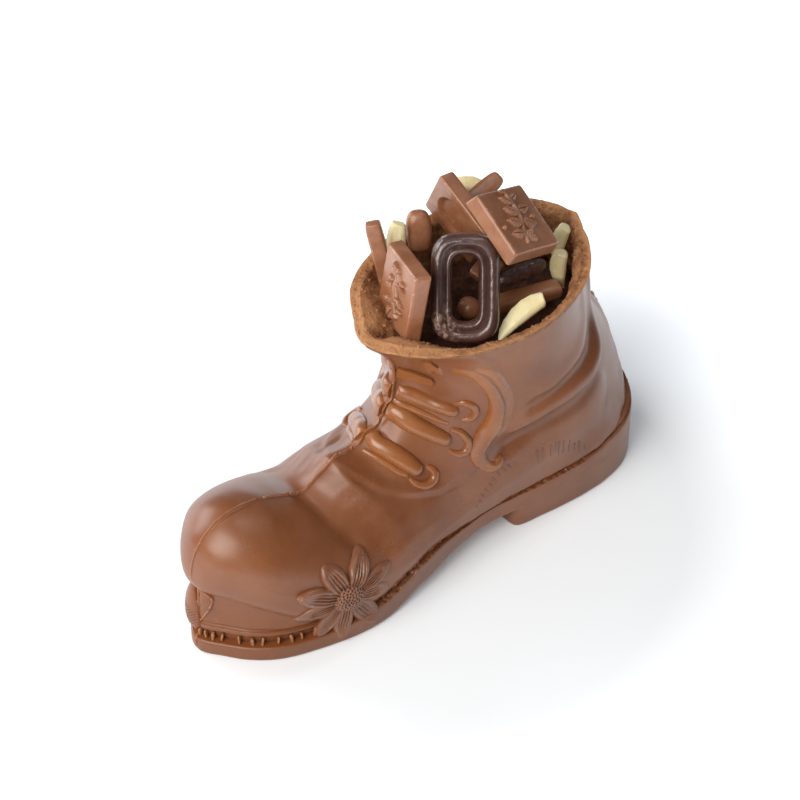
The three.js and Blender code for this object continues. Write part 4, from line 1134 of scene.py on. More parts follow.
# Worn marks on the heel counter: an arc of short parallel ones, then a fan of longer ones
MARK_ARC = [
    [6, -29.1, 21.8], [7.7, -29.3, 23.9], [9.6, -29.1, 26.9], [12.3, -29.2, 28.6], [14.6, -29.2, 31],
    [16.8, -29.3, 32.6], [19.3, -29.6, 33.7], [21.7, -30, 33.9], [24.5, -30.5, 34.3],
]
MARK_STROKES = [
    [[31.9, -31.7, 35.7], [32.1, -32.2, 29.8]], [[34, -32.2, 35.8], [34.4, -32.6, 30.6]],
    [[37.1, -33, 35.7], [37.5, -33, 29.9]], [[39.1, -33.4, 36], [39.5, -33.3, 31.1]],
    [[40.7, -33.6, 35.4], [41.1, -33.1, 28.8]], [[42.8, -33.8, 34.7], [43.4, -33.1, 27.8]],
    [[45.8, -33.8, 32.9], [46.1, -33.2, 26.9]], [[48.6, -33.4, 28.9], [48.9, -33.4, 25.8]],
    [[50.9, -33.4, 28.6], [51.2, -33.7, 23.2]], [[53.4, -33.6, 25.2], [53.8, -33.9, 22.6]],
]

MARK_LEAN = np.array([0.55, 0.0, -1.05])


def make_marks(ground, material):
    """Worn tool marks round the heel counter, laid on both sides as thin raised lines."""
    strokes = []
    for turn in (np.array([1, 1, 1]), np.array([1, -1, 1])):
        arc = catmull(np.array(MARK_ARC) * turn, 30)
        lean = MARK_LEAN * turn
        strokes += [np.array([arc[k] - lean, arc[k], arc[k] + lean]) for k in range(1, 30, 3)]
        strokes += [catmull(np.array(stroke) * turn, 6) for stroke in MARK_STROKES]
    return grown("heel_marks", stroke_tree(), stroke_mesh(ground, strokes), material, Thickness=0.27 * MM)


def make_toe_front(ground, material, line):
    """The seam down the toe's front with the small turned facet beside it."""
    fold = [[-93.4, 0.4, 31.0], [-92.8, -1.8, 29.0], [-91.0, -4.6, 26.4], [-91.2, -4.0, 22.4],
            [-92.4, -1.8, 16.6], [-93.2, -0.4, 13.6]]
    edge = [[-93.6, 0.6, 30.5], [-93.6, 0.4, 24.0], [-93.4, 0.2, 17.0], [-93.6, 0.0, 12.6]]
    foot = [[-94.0, 0.0, 13.0], [-95.2, 0.0, 9.0], [-95.4, 0.0, 5.0], [-95.3, 0.0, 1.4]]
    facet = [[-92.6, -1.2, 29.2], [-91.8, -2.4, 25.2], [-92.2, -1.8, 20.2], [-93.0, -0.6, 15.6]]
    return [
        laid_ridge("toe_facet", ground, facet, [0.5, 2.3, 2.0, 0.5], [0.4, 1.1, 0.9, 0.4], material, flat=4.0,
                   fillet=0.5),
        flash("toe_fold", ground, fold, [0.3, 0.45, 0.5, 0.45, 0.3], [0.5, 0.9, 1.2, 1.0, 0.6], line, 0.25, 7.0,
              fillet=0.15),
        flash("toe_seam", ground, edge, 0.3, [0.4, 0.7, 0.8, 0.6], line, 0.3, 8.0),
        flash("toe_foot", ground, foot, 0.3, [0.5, 0.7, 0.7, 0.5], line, 0.3, 9.0),
    ]


def axes_of(face, along):
    """Directions of a placed piece: along its length, across it and out of its face."""
    z = unit(face)
    x = np.asarray(along, float)
    x = unit(x - np.dot(x, z) * z)
    return np.stack([x, np.cross(z, x), z])


def placed(points, centre, face, along):
    """Points of a piece's own axes, put where the piece lies in the boot."""
    return np.asarray(points, float) @ axes_of(face, along) + np.asarray(centre, float)


def leaf_rise(a, b, root, tip, half, high):
    """A raised leaf between two points, with a groove down its middle."""
    root, tip = np.asarray(root, float), np.asarray(tip, float)
    length = np.linalg.norm(tip - root)
    direction = (tip - root) / length
    u = ((a - root[0]) * direction[0] + (b - root[1]) * direction[1]) / length
    v = (b - root[1]) * direction[0] - (a - root[0]) * direction[1]
    width = half * np.sin(math.pi * np.clip(u, 0, 1) ** 0.8) + 1e-6
    body = np.clip(1 - (v / width) ** 2, 0, 1) ** 0.5 * high * ((u > 0) & (u < 1))
    veins = 0.10 * np.cos((u * length - np.abs(v) * 0.8) * 6.0) * (np.abs(v) > 0.25)
    return body - (0.45 * high * np.exp(-(v / 0.16) ** 2) + veins * high) * (body > 0.02)


def stem_rise(a, b, line, half, high):
    """A raised round stem along a line of points."""
    gap = distance_to_line(a, b, line)
    return high * np.clip(1 - (gap / half) ** 2, 0, 1) ** 0.5


def bead_rise(a, b, at, radius, high):
    """A raised round berry."""
    gap = np.hypot(a - at[0], b - at[1])
    return high * np.clip(1 - (gap / radius) ** 2, 0, 1) ** 0.5


def sprig_rise(a, b):
    """A slim sprig: a bent stem with a broad leaf at its foot, small leaves and berries."""
    stem = [[-6.0, -1.0], [-3.4, 0.2], [-0.6, -0.3], [2.4, 0.3], [5.2, -0.3], [7.6, 0.4]]
    parts = [stem_rise(a, b, stem, 0.75, 1.1)]
    leaves = [((-5.4, -0.6), (-10.2, 0.8), 2.0), ((-3.6, 0.0), (-5.6, 3.6), 1.2),
              ((-1.4, -0.2), (-2.4, -3.6), 1.2), ((1.2, 0.0), (0.6, 3.4), 1.1),
              ((3.6, 0.1), (3.4, -3.0), 1.1), ((6.6, 0.1), (10.0, 1.6), 1.3)]
    parts += [leaf_rise(a, b, root, tip, half, 1.2) for root, tip, half in leaves]
    berries = [((3.4, 1.9), 0.9), ((5.4, -1.9), 0.8), ((-4.4, -2.4), 0.9)]
    parts += [bead_rise(a, b, at, radius, 1.15) for at, radius in berries]
    return np.max(parts, axis=0)


def branch_rise(a, b):
    """A wide branch: a bent stem, broad leaves to both sides and a few berries."""
    stem = [[-9.0, -3.0], [-5.5, -1.6], [-1.5, -1.2], [2.5, 0.2], [6.0, 2.6], [8.6, 5.4]]
    parts = [stem_rise(a, b, stem, 0.65, 1.0)]
    leaves = [((-6.0, -1.8), (-8.8, 3.6), 2.1), ((-5.2, -1.6), (-6.4, -7.4), 2.0),
              ((-2.0, -1.2), (-3.4, 5.4), 2.2), ((-0.6, -1.1), (1.0, -7.4), 2.2), ((1.8, 0.0), (1.4, 6.6), 1.9),
              ((3.4, 0.7), (7.2, -4.0), 2.1), ((5.4, 2.1), (5.2, 8.4), 1.5), ((6.8, 3.3), (10.4, 1.2), 1.4),
              ((8.4, 5.2), (9.8, 9.2), 1.2)]
    parts += [leaf_rise(a, b, root, tip, half, 1.25) for root, tip, half in leaves]
    parts += [bead_rise(a, b, at, 0.95, 1.2) for at in ((-3.2, -4.6), (4.0, -5.6), (-7.4, 6.4))]
    return np.max(parts, axis=0)


TILE_EDGE = 26.1
TILE_THICK = 5.5


def tile_rings(rise, slant):
    """Rings of a square tablet with sloping sides, rounded edges and a raised figure."""
    half, thick, count = TILE_EDGE / 2, TILE_THICK, 360
    square = np.array([[-half, -half], [half, -half], [half, half], [-half, half]])
    rings = []

    def lean(z):
        return slant * (z / thick) if slant > 0 else -slant * (1 - z / thick)

    side = [(6.0, 0.0), (1.1, 0.0), (0.5, 0.08), (0.12, 0.3), (0.0, 0.7)]
    side += [(0.0, z) for z in np.linspace(1.2, thick - 0.75, 9)]
    crown = [(0.02, thick - 0.5), (0.12, thick - 0.26), (0.32, thick - 0.08), (0.6, thick)]
    for by, z in side + crown:
        inset = by + lean(z if z < thick - 0.7 else thick)
        flat = rounded_outline(square * (1 - inset / half), 1.2, count)
        rings.append(np.column_stack([flat, np.full(count, z)]))
    for share in np.linspace(1, 0.006, 62):
        flat = rounded_outline(square * (1 - inset / half) * share, 1.2 * share, count)
        rings.append(np.column_stack([flat, thick + rise(flat[:, 0], flat[:, 1])]))
    rings = np.array(rings)
    rings[..., 2] -= thick / 2
    return rings


def make_tiles(material):
    """The three square tablets: two with a raised sprig, one seen from its hollow back."""
    def turned(a, b, by):
        return a * math.cos(by) + b * math.sin(by), b * math.cos(by) - a * math.sin(by)

    def worn(a, b):
        return 0.05 * value_noise(np.stack([a, b, a * 0], axis=-1), 3.5)

    def slim(a, b):
        return 1.3 * sprig_rise(a, b / 2.2) + worn(a, b)

    def wide(a, b):
        return branch_rise(*turned(a, b, 0.9)) + worn(a, b)

    def dished(a, b):
        return -1.4 * smoothstep((9.4 - np.hypot(a, b)) / 2.4) + worn(a, b)

    made = []
    for name, rise, slant, centre, face, along in [
        ("milk_tile_front", slim, 0.8, [2.65, 5.24, 102.24], [-0.911, 0.344, 0.229], [0.27, 0.076, 0.96]),
        ("milk_tile_top", wide, 0.8, [43.06, -4.25, 115.45], [0.391, -0.425, 0.816], [0.917, 0.104, -0.385]),
        ("milk_tile_back", dished, -0.8, [38.46, 16.84, 107.29], [-0.989, 0.06, -0.136],
         [0.008, -0.891, -0.454]),
    ]:
        rings = placed(tile_rings(rise, slant), centre, face, along)
        piece = ringed(name + "_looks", rings, material, sharp=50)
        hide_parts(name)
        made.append(piece)
    return made


# The dark link's outline and hole, each as length, width and corner radius, and its thickness
LINK_OUTLINE = (37.0, 23.0, 9.5)
LINK_HOLE = (22.6, 8.8, 4.0)
LINK_THICK = 7.0


def make_link(material):
    """The dark closed link: a thick outer bead, a groove and a thin inner bead."""
    count = 420

    def oblong(length, width, corner):
        corners = np.array([[-length / 2, -width / 2], [length / 2, -width / 2],
                            [length / 2, width / 2], [-length / 2, width / 2]])
        line = rounded_outline(corners, corner, count)
        first = int(np.argmin(np.hypot(line[:, 0] - line[:, 0].max(), line[:, 1])))
        return np.roll(line, -first, axis=0)

    outer, hole = oblong(*LINK_OUTLINE), oblong(*LINK_HOLE)
    half = LINK_THICK / 2
    section = [(0.10, -half), (0.03, -half + 0.3), (0.0, -half + 0.9), (0.0, -0.6), (0.02, 0.9), (0.07, 2.0),
               (0.15, 2.85), (0.26, 3.35), (0.36, 3.45), (0.46, 3.2), (0.54, 2.6), (0.59, 1.8), (0.625, 1.4),
               (0.66, 1.45), (0.71, 1.9), (0.78, 2.15), (0.85, 2.05), (0.91, 1.6), (0.96, 0.7), (0.99, -0.3),
               (1.0, -1.2), (1.0, -half + 0.9), (0.97, -half + 0.3), (0.90, -half), (0.5, -half)]
    section = catmull(np.array(section) * [10, 1], 78, closed=True) * [0.1, 1]
    rings = []
    for share, z in section:
        flat = outer + (hole - outer) * min(max(share, 0), 1)
        rings.append(np.column_stack([flat, np.full(count, z)]))
    rings = np.array(rings)
    rings[..., 2] += value_noise(rings, 4.0, seed=2.0) * 0.14 + value_noise(rings, 1.3, seed=6.0) * 0.05
    rings = placed(rings, [19.52, -6.62, 101.92], [-0.537, -0.618, 0.574], [0.376, 0.433, 0.819])
    piece = looped("dark_link_looks", rings, material, sharp=60)
    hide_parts("dark_link")
    return [piece]


def bar_rings(length, width, height, round_by, lumps, seed, blunt=0.35):
    """Rings of a small moulded bar along its own x, with soft edges and lumps."""
    rows, columns = 60, 72
    angle = np.linspace(0, 2 * math.pi, columns, endpoint=False)
    c, s = np.cos(angle), np.sin(angle)
    flat_y = np.sign(c) * np.abs(c) ** round_by * width / 2
    flat_z = np.sign(s) * np.abs(s) ** round_by * height / 2
    rings = []
    for u in np.sin(np.linspace(-1, 1, rows) * math.pi / 2):
        end = max((1 - abs(u) ** (2 / blunt)) ** (blunt / 2), 0.05)
        rings.append(np.stack([np.full(columns, u * length / 2), flat_y * end, flat_z * end], axis=1))
    rings = np.array(rings)
    n = unit(rings * [0, 1 / width ** 2, 1 / height ** 2] + 1e-9)
    uneven = lumps * value_noise(rings, 3.4, seed=seed) + 0.3 * lumps * value_noise(rings, 1.1, seed=seed + 4)
    return rings + n * uneven[..., None]


# Each bar: its two ends, its width and height, its upward side, then how round its section is, how lumpy
# it is, its own place in the noise and how blunt its ends are
BARS = {
    "milk_baton_left": ([10.1, 21.7, 91], [6.9, 26.2, 115.3], 5.4, 4.4, [-0.66, -0.75, 0.2],
                        (0.35, 0.16, 1, 0.18)),
    "milk_oval": ([26, 23.4, 96], [25, 23.9, 111.5], 8.8, 6.8, [-0.66, -0.75, 0.3], (0.75, 0.1, 2, 0.7)),
    "milk_baton_back": ([44.18, 21.82, 104.22], [59.18, 19.82, 112.72], 6.3, 4.8, [-0.2, -0.5, 1],
                        (0.6, 0.12, 3, 0.5)),
    "dark_drop": ([38, -3, 91], [57.5, -5.35, 90], 5.8, 5.4, [0, 0, 1], (0.9, 0.6, 4, 0.7)),
    "milk_bar_low": ([33, -5, 84], [57.5, -13.6, 84.6], 6.8, 5.8, [0, 0, 1], (0.6, 0.16, 5, 0.35)),
}


def make_bars(milk, dark):
    """Small moulded bars among the fillings."""
    made = []
    for name, (start, finish, width, height, face, form) in BARS.items():
        start, finish = np.array(start, float), np.array(finish, float)
        length = np.linalg.norm(finish - start) - 0.2
        rings = placed(bar_rings(length, width, height, *form), (start + finish) / 2, face, finish - start)
        piece = ringed(name + "_looks", rings, dark if name == "dark_drop" else milk, sharp=60)
        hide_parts(name)
        made.append(piece)
    piece = ringed("milk_ball_looks", ball_rings(BALL_RADIUS - 0.1) + BALL_MIDDLE, milk)
    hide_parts("milk_ball")
    made.append(piece)
    rings = bar_rings(10.8, 8.8, 3.8, 0.5, lumps=0.2, seed=7)
    rings = placed(rings, [43, 8, 86.3], [-0.12, -0.14, 0.98], [0.98, 0.15, 0.14])
    piece = ringed("milk_chip_looks", rings, milk)
    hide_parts("milk_chip")
    return made + [piece]


def ball_rings(radius):
    """Rings of a slightly uneven ball."""
    angle = np.linspace(0, 2 * math.pi, 72, endpoint=False)
    rings = []
    for t in np.linspace(0.02, math.pi - 0.02, 48):
        rings.append(np.stack([radius * math.sin(t) * np.cos(angle), radius * math.sin(t) * np.sin(angle),
                               np.full(72, radius * math.cos(t))], axis=1))
    rings = np.array(rings)
    return rings * (0.985 + 0.012 * value_noise(rings, 2.4, seed=4.0))[..., None]


SLIVERS = {
    "white_sliver_left": ([15.9, 24.4, 100], [0.04, 0.14, 1], 22, 8.5, [-0.66, -0.75, 0.3]),
    "white_sliver_back": ([51.86, 29.94, 106.25], [1, 0.2, -0.9], 15, 7.6, [-0.5, -0.5, 0.7]),
    "white_sliver_right": ([65.5, -2.9, 92.1], [0.05, -0.2, 1], 17, 7, [-0.66, -0.75, 0.1]),
    "white_sliver_low": ([60.44, -8.55, 87.27], [-0.1, -0.1, 1], 16, 7.5, [-0.66, -0.75, 0.1]),
    "white_sliver_front": ([32, -19.2, 91], [1, -0.1, 0.42], 22.5, 8.5, [-0.35, -0.55, 0.75]),
}
SLIVER_THICK = 4.6


def sliver_rings(length, width, seed):
    """Rings of a cut sliver: a straight back, a bowed belly, a cut end and flat facets."""
    belly = np.array([[-0.5, -0.33], [-0.44, -0.14], [-0.35, 0.05], [-0.2, 0.23], [0.0, 0.36], [0.2, 0.37],
                      [0.36, 0.28], [0.48, 0.13], [0.5, 0.08]])
    back = np.array([[-0.5, -0.36], [-0.2, -0.40], [0.1, -0.44], [0.40, -0.49], [0.44, -0.42], [0.5, -0.02]])
    section = np.array([[0.0, 0.10], [0.05, 0.62], [0.16, 0.88], [0.30, 1.0], [0.58, 0.86], [0.80, 0.56],
                        [0.97, 0.14], [1.0, -0.06], [0.90, -0.50], [0.62, -0.86], [0.22, -1.0], [0.06, -0.80],
                        [0.0, -0.30]])
    loop = np.concatenate([section, section[:1]])
    run = run_of(loop * [width, SLIVER_THICK / 2])
    want = np.linspace(0, run[-1], 73)[:-1]
    across, up = np.interp(want, run, loop[:, 0]), np.interp(want, run, loop[:, 1])
    rings = []
    for u in np.concatenate([[-0.4995, -0.497], np.linspace(-0.49, 0.47, 68), [0.485, 0.494, 0.4985, 0.4998]]):
        low, high = np.interp(u, back[:, 0], back[:, 1]), np.interp(u, belly[:, 0], belly[:, 1])
        if u > 0.49:
            low, high = low + (u - 0.49) * 9, high - (u - 0.49) * 9
        thin = min(1.0, 0.25 + 2.0 * (u + 0.5)) * min(1.0, 0.55 + 9 * (0.5 - u))
        y = (low + (high - low) * across) * width
        z = up * thin * SLIVER_THICK / 2 * (1 - 0.10 * np.clip(across - 0.3, 0, 1))
        rings.append(np.stack([np.full(72, u * length), y, z], axis=1))
    rings = np.array(rings)
    uneven = 0.09 * value_noise(rings, 2.6, seed=seed) + 0.04 * value_noise(rings, 0.9, seed=seed + 3)
    rings[..., 1:] += uneven[..., None]
    return rings


def make_slivers(material):
    """The pale slivers between the other fillings."""
    made = []
    for number, (name, (middle, along, length, width, face)) in enumerate(SLIVERS.items()):
        rings = placed(sliver_rings(length * 0.985, width * 0.96, number * 1.7), middle, face, along)
        piece = ringed(name + "_looks", rings, material, sharp=24)
        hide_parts(name)
        made.append(piece)
    return made


def heap_top(x, y):
    """The height of the buried fillings under the ones on show."""
    hump = 5.5 * np.exp(-((x - 44) / 20) ** 2 - ((y - 12) / 13) ** 2)
    return 78.8 + hump + np.sin(0.55 * x) * np.cos(0.5 * y)


def make_heap(material):
    """The body of the fillings that lie deep inside the boot, coloured near black as painted shade."""
    margin = SHELL_WALL + 3.2
    places = even_stations(40, 1.6, 13.2)
    rings = full_rings(inset(smooth_at(STATIONS, places), margin), 70, 60)
    top = full_rings(inset(smooth_at(STATIONS, np.array([14.9])), margin), 70, 60)[0]
    rings[..., 2] = np.minimum(rings[..., 2], heap_top(rings[..., 0], rings[..., 1]) - 3.0)
    middle = top.mean(axis=0)
    for share in (1.0, 0.93, 0.8, 0.66, 0.5, 0.34, 0.18, 0.05):
        ring = middle + (top - middle) * share
        ring[:, 2] = heap_top(ring[:, 0], ring[:, 1]) - 2.2 - 1.5 * share ** 6
        rings = np.concatenate([rings, ring[None]])
    rings[..., 2] = np.clip(rings[..., 2], 16, 84)
    piece = ringed("filling_heap_looks", rings, material)
    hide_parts("filling_heap")
    return [piece]


class Wire:
    """Short ways to place and join nodes in one tree."""

    def __init__(self, tree):
        self.tree = tree

    def fill(self, node, values):
        """Set or join a node's inputs, each by its name or number."""
        for key, value in values.items():
            if isinstance(value, bpy.types.NodeSocket):
                self.tree.links.new(value, node.inputs[key])
            else:
                node.inputs[key].default_value = value
        return node

    def node(self, kind, output, inputs, **settings):
        """The named output of a new node with its settings and inputs."""
        made = self.tree.nodes.new(kind)
        for key, value in settings.items():
            setattr(made, key, value)
        return self.fill(made, inputs).outputs[output]

    def noise(self, vector, scale, detail=4.0, roughness=0.5, distortion=0.0):
        return self.node("ShaderNodeTexNoise", "Fac", {"Vector": vector, "Scale": scale, "Detail": detail,
                                                       "Roughness": roughness, "Distortion": distortion})

    def math(self, how, a, b=0.0, clamp=False):
        return self.node("ShaderNodeMath", 0, {0: a, 1: b}, operation=how, use_clamp=clamp)

    def times(self, a, b):
        return self.math("MULTIPLY", a, b)

    def span(self, value, low, high, to_low=0.0, to_high=1.0):
        return self.node("ShaderNodeMapRange", "Result", {
            "Value": value, "From Min": low, "From Max": high, "To Min": to_low, "To Max": to_high})

    def mix(self, share, a, b):
        return self.node("ShaderNodeMix", "Result", {"Factor": share, "A": a, "B": b}, data_type="RGBA")

    def vector(self, how, output, a, b):
        return self.node("ShaderNodeVectorMath", output, {0: a, 1: b}, operation=how)

    def scaled(self, vector, by):
        return self.node("ShaderNodeVectorMath", "Vector", {0: vector, "Scale": by}, operation="SCALE")

    def part(self, vector, axis):
        return self.node("ShaderNodeSeparateXYZ", axis, {0: vector})


def new_group(name, inputs, outputs):
    """A shader node group with named inputs and outputs: its wire, what it is given and what it gives."""
    tree = bpy.data.node_groups.new(name, "ShaderNodeTree")
    for label, value in inputs.items():
        kind = {type(None): "Vector", tuple: "Color", float: "Float"}[type(value)]
        socket = tree.interface.new_socket(label, in_out="INPUT", socket_type="NodeSocket" + kind)
        if value is not None:
            socket.default_value = value
    for label, kind in outputs.items():
        tree.interface.new_socket(label, in_out="OUTPUT", socket_type="NodeSocket" + kind)
    return Wire(tree), tree.nodes.new("NodeGroupInput").outputs, tree.nodes.new("NodeGroupOutput")


def clouding_group():
    """Soft cloudy differences of colour in set chocolate, large and fine."""
    w, given, out = new_group("chocolate_clouding", {
        "Vector": None, "Deep": (0.1, 0.05, 0.03, 1), "Plain": (0.2, 0.1, 0.06, 1),
        "Haze": (0.25, 0.15, 0.12, 1), "Haze Amount": 0.3}, {"Color": "Color", "Mask": "Float"})
    where = given["Vector"]
    large = w.span(w.noise(where, 38.0, 3.0), 0.35, 0.68)
    small = w.span(w.noise(where, 420.0, 5.0, 0.6), 0.3, 0.7)
    base = w.mix(large, given["Deep"], given["Plain"])
    fine = w.mix(w.times(small, 0.16), base, given["Deep"])
    haze = w.span(w.noise(where, 90.0, 6.0, 0.65, 0.4), 0.42, 0.72)
    amount = w.math("MULTIPLY", haze, given["Haze Amount"], clamp=True)
    specks = w.span(w.noise(where, 1500.0, 2.0), 0.63, 0.70)
    specks = w.times(specks, w.span(w.noise(where, 55.0, 2.0), 0.50, 0.66))
    marked = w.mix(w.times(specks, 0.45), fine, given["Haze"])
    w.fill(out, {"Color": w.mix(amount, marked, given["Haze"]), "Mask": amount})
    return w.tree


def skin_group():
    """The fine skin of moulded chocolate: faint waves, tiny pits and hairline scratches."""
    w, given, out = new_group("moulded_skin", {
        "Vector": None, "Waves": 0.3, "Pits": 0.3, "Scratches": 0.3, "Pit Scale": 2600.0},
        {"Height": "Float", "Scratch Mask": "Float"})
    where = given["Vector"]
    waves = w.times(w.noise(where, 160.0, 3.0), given["Waves"])
    pits = w.span(w.noise(where, given["Pit Scale"], 2.0, 0.5), 0.62, 0.75, 0.0, -1.0)
    pits = w.times(pits, given["Pits"])
    lines = []
    for turn, scale in ((0.7, 210.0), (-0.5, 170.0)):
        stretched = w.node("ShaderNodeMapping", "Vector", {
            "Vector": where, "Rotation": (0.4, turn, turn * 1.3), "Scale": (scale, scale * 0.06, scale)})
        field = w.noise(stretched, 1.0, 2.0, 0.5, 0.15)
        near = w.math("ABSOLUTE", w.math("SUBTRACT", field, 0.5))
        lines.append(w.span(near, 0.0, 0.006, 1.0, 0.0))
    patches = w.span(w.noise(where, 60.0, 2.0), 0.56, 0.66)
    lines = w.times(w.times(w.math("MAXIMUM", *lines), patches), given["Scratches"])
    height = w.math("SUBTRACT", w.math("ADD", waves, pits), w.times(lines, 0.5))
    w.fill(out, {"Height": height, "Scratch Mask": lines})
    return w.tree


def crumb_group():
    """A broken sandy surface: grains, dark pores and pale flecks."""
    w, given, out = new_group("broken_grain", {
        "Vector": None, "Deep": (0.1, 0.05, 0.03, 1), "Plain": (0.3, 0.16, 0.08, 1),
        "Pale": (0.5, 0.3, 0.17, 1), "Edge Low": 0.0964, "Edge High": 0.0971},
        {"Color": "Color", "Height": "Float"})
    where = given["Vector"]
    grain = w.noise(where, 1300.0, 6.0, 0.75)
    lumps = w.noise(where, 260.0, 5.0, 0.7)
    base = w.mix(w.span(lumps, 0.40, 0.66), given["Plain"], given["Pale"])
    pores = w.span(w.noise(where, 900.0, 3.0, 0.6), 0.55, 0.70)
    color = w.mix(w.times(pores, 0.75), base, given["Deep"])
    flecks = w.times(w.span(grain, 0.58, 0.70), 0.5)
    edge = w.times(w.span(w.part(where, "Z"), given["Edge Low"], given["Edge High"]), 0.75)
    color = w.mix(w.math("MAXIMUM", flecks, edge), color, given["Pale"])
    w.fill(out, {"Color": color, "Height": w.math("ADD", w.times(grain, 0.6), lumps)})
    return w.tree


GROUPS = {}


def shared(w, maker, **values):
    """The outputs of a shared group placed in a material with its own values."""
    if maker not in GROUPS:
        GROUPS[maker] = maker()
    made = w.tree.nodes.new("ShaderNodeGroup")
    made.node_tree = GROUPS[maker]
    return w.fill(made, {key.replace("_", " "): value for key, value in values.items()}).outputs


def start_material(name):
    """A material, its wire, its main shader and its place in the piece."""
    material = bpy.data.materials.new(name)
    material.use_nodes = True
    w = Wire(material.node_tree)
    return material, w, material.node_tree.nodes["Principled BSDF"], w.node("ShaderNodeTexCoord", "Object", {})


def linear(red, green, blue):
    """A colour from 0-255 screen values."""
    def one(v):
        v /= 255
        return v / 12.92 if v <= 0.04045 else ((v + 0.055) / 1.055) ** 2.4
    return (one(red), one(green), one(blue), 1.0)


def bump(w, height, strength, distance):
    """The normal of a bump node over a height."""
    return w.node("ShaderNodeBump", "Normal", {"Strength": strength, "Distance": distance, "Height": height})


def paint_foot_shade(w, where, color, foot_shade_color):
    """Painted shade: a darker, warmer colour over the foot of the toe, standing in for less of the bright
    floor's light reflected there.
    """
    near_toe = w.times(w.span(w.part(where, "X"), -0.045, -0.075), w.span(w.part(where, "Z"), 0.056, 0.028))
    return w.mix(w.times(near_toe, 0.75), color, foot_shade_color)


def rub(w, where, color, spot, reach, scuff):
    """A rubbed patch of a paler colour round a spot."""
    away = w.vector("DISTANCE", "Value", where, spot)
    patchy = w.span(w.noise(where, 620.0, 3.0, 0.6), 0.50, 0.60)
    return w.mix(w.times(w.times(w.span(away, reach, reach * 0.3), patchy), 0.8), color, scuff)


def moulded_chocolate(name, deep, plain, haze, haze_amount, rough=(0.36, 0.5), coat=0.12, coat_rough=0.25,
                      waves=0.3, pits=0.25, scratches=0.5, worn=None, subsurface=0.05, specular=0.5,
                      pit_scale=2600.0, scuffed=None, foot_shade_color=None):
    """Chocolate with the satin skin of its mould, darkened by painted shade in its creases and paler on its
    worn edges.
    """
    material, w, shader, where = start_material(name)
    cloud = shared(w, clouding_group, Vector=where, Deep=deep, Plain=plain, Haze=haze, Haze_Amount=haze_amount)
    skin = shared(w, skin_group, Vector=where, Waves=waves, Pits=pits, Scratches=scratches, Pit_Scale=pit_scale)
    color = cloud["Color"]
    # Painted shade over the foot of the toe, in a warm dark colour.
    if foot_shade_color:
        color = paint_foot_shade(w, where, color, foot_shade_color)
    color = w.mix(w.times(skin["Scratch Mask"], 0.5), color, worn or haze)
    # Painted shade: where the surface is sunk (low pointiness) its colour is darkened toward a deep brown.
    pointed = w.node("ShaderNodeNewGeometry", "Pointiness", {})
    color = w.mix(w.times(w.span(pointed, 0.485, 0.43), 0.55), color, tuple(0.42 * v for v in deep[:3]) + (1,))
    if worn:
        color = w.mix(w.times(w.span(pointed, 0.53, 0.60), 0.6), color, worn)
    if scuffed:
        color = rub(w, where, color, *scuffed)
    w.fill(shader, {
        "Base Color": color, "Roughness": w.span(cloud["Mask"], 0.0, 1.0, *rough), "Coat Weight": coat,
        "Coat Roughness": coat_rough, "Specular IOR Level": specular, "Subsurface Weight": subsurface,
        "Subsurface Radius": (0.8, 0.35, 0.2), "Subsurface Scale": 0.0015,
        "Normal": bump(w, skin["Height"], 0.35, 0.0003)})
    return material


def broken_chocolate(name, deep, plain, pale):
    """Chocolate where it is broken or scraped: dry, sandy and full of small pores."""
    material, w, shader, where = start_material(name)
    grain = shared(w, crumb_group, Vector=where, Deep=deep, Plain=plain, Pale=pale)
    w.fill(shader, {"Base Color": grain["Color"], "Roughness": 0.7, "Specular IOR Level": 0.3,
                    "Normal": bump(w, grain["Height"], 0.9, 0.0006)})
    return material


LINK_SCUFF = np.array([6.5, -8.0, 93.0])


def sleek_dark(name, deep, plain):
    """Dark chocolate with a gloss, a faint dusty bloom and a rubbed lower end."""
    scuffed = (tuple(in_frame(LINK_SCUFF)), 0.009, linear(182, 154, 136))
    return moulded_chocolate(name, deep, plain, linear(122, 94, 88), 0.25, rough=(0.28, 0.44), coat=0.5,
                             coat_rough=0.22, waves=0.8, pits=1.2, scratches=0.5, subsurface=0.0, specular=0.6,
                             pit_scale=1200.0, scuffed=scuffed)


def pale_almond(name):
    """The waxy pale cream of the slivers, yellower in its depth."""
    material, w, shader, where = start_material(name)
    cloud = shared(w, clouding_group, Vector=where, Deep=linear(221, 205, 150), Plain=linear(238, 228, 184),
                   Haze=linear(248, 242, 214), Haze_Amount=0.5)
    skin = shared(w, skin_group, Vector=where, Waves=0.5, Pits=0.4, Scratches=0.3)
    w.fill(shader, {
        "Base Color": cloud["Color"], "Roughness": 0.42, "Subsurface Weight": 0.25,
        "Subsurface Radius": (1.0, 0.8, 0.4), "Subsurface Scale": 0.002,
        "Normal": bump(w, skin["Height"], 0.3, 0.0003)})
    return material


CAMERA_TURN = math.radians(41)
CAMERA_RISE = math.radians(45)
CAMERA_REACH = 954.8
CAMERA_TARGET = np.array([-3.54, 0.0, 59.55])


def make_camera():
    """The camera, high in front of the near side."""
    data = bpy.data.cameras.new("photo_camera")
    data.lens, data.sensor_width = 126.0, 36.0
    data.clip_start, data.clip_end = 0.05, 20.0
    camera = new_object("photo_camera", data)
    level = math.cos(CAMERA_RISE)
    back = Vector((-math.sin(CAMERA_TURN) * level, -math.cos(CAMERA_TURN) * level, math.sin(CAMERA_RISE)))
    target = Vector(in_frame(CAMERA_TARGET))
    camera.location = target + back * CAMERA_REACH * MM
    camera.rotation_euler = back.to_track_quat("Z", "Y").to_euler()
    bpy.context.scene.camera = camera


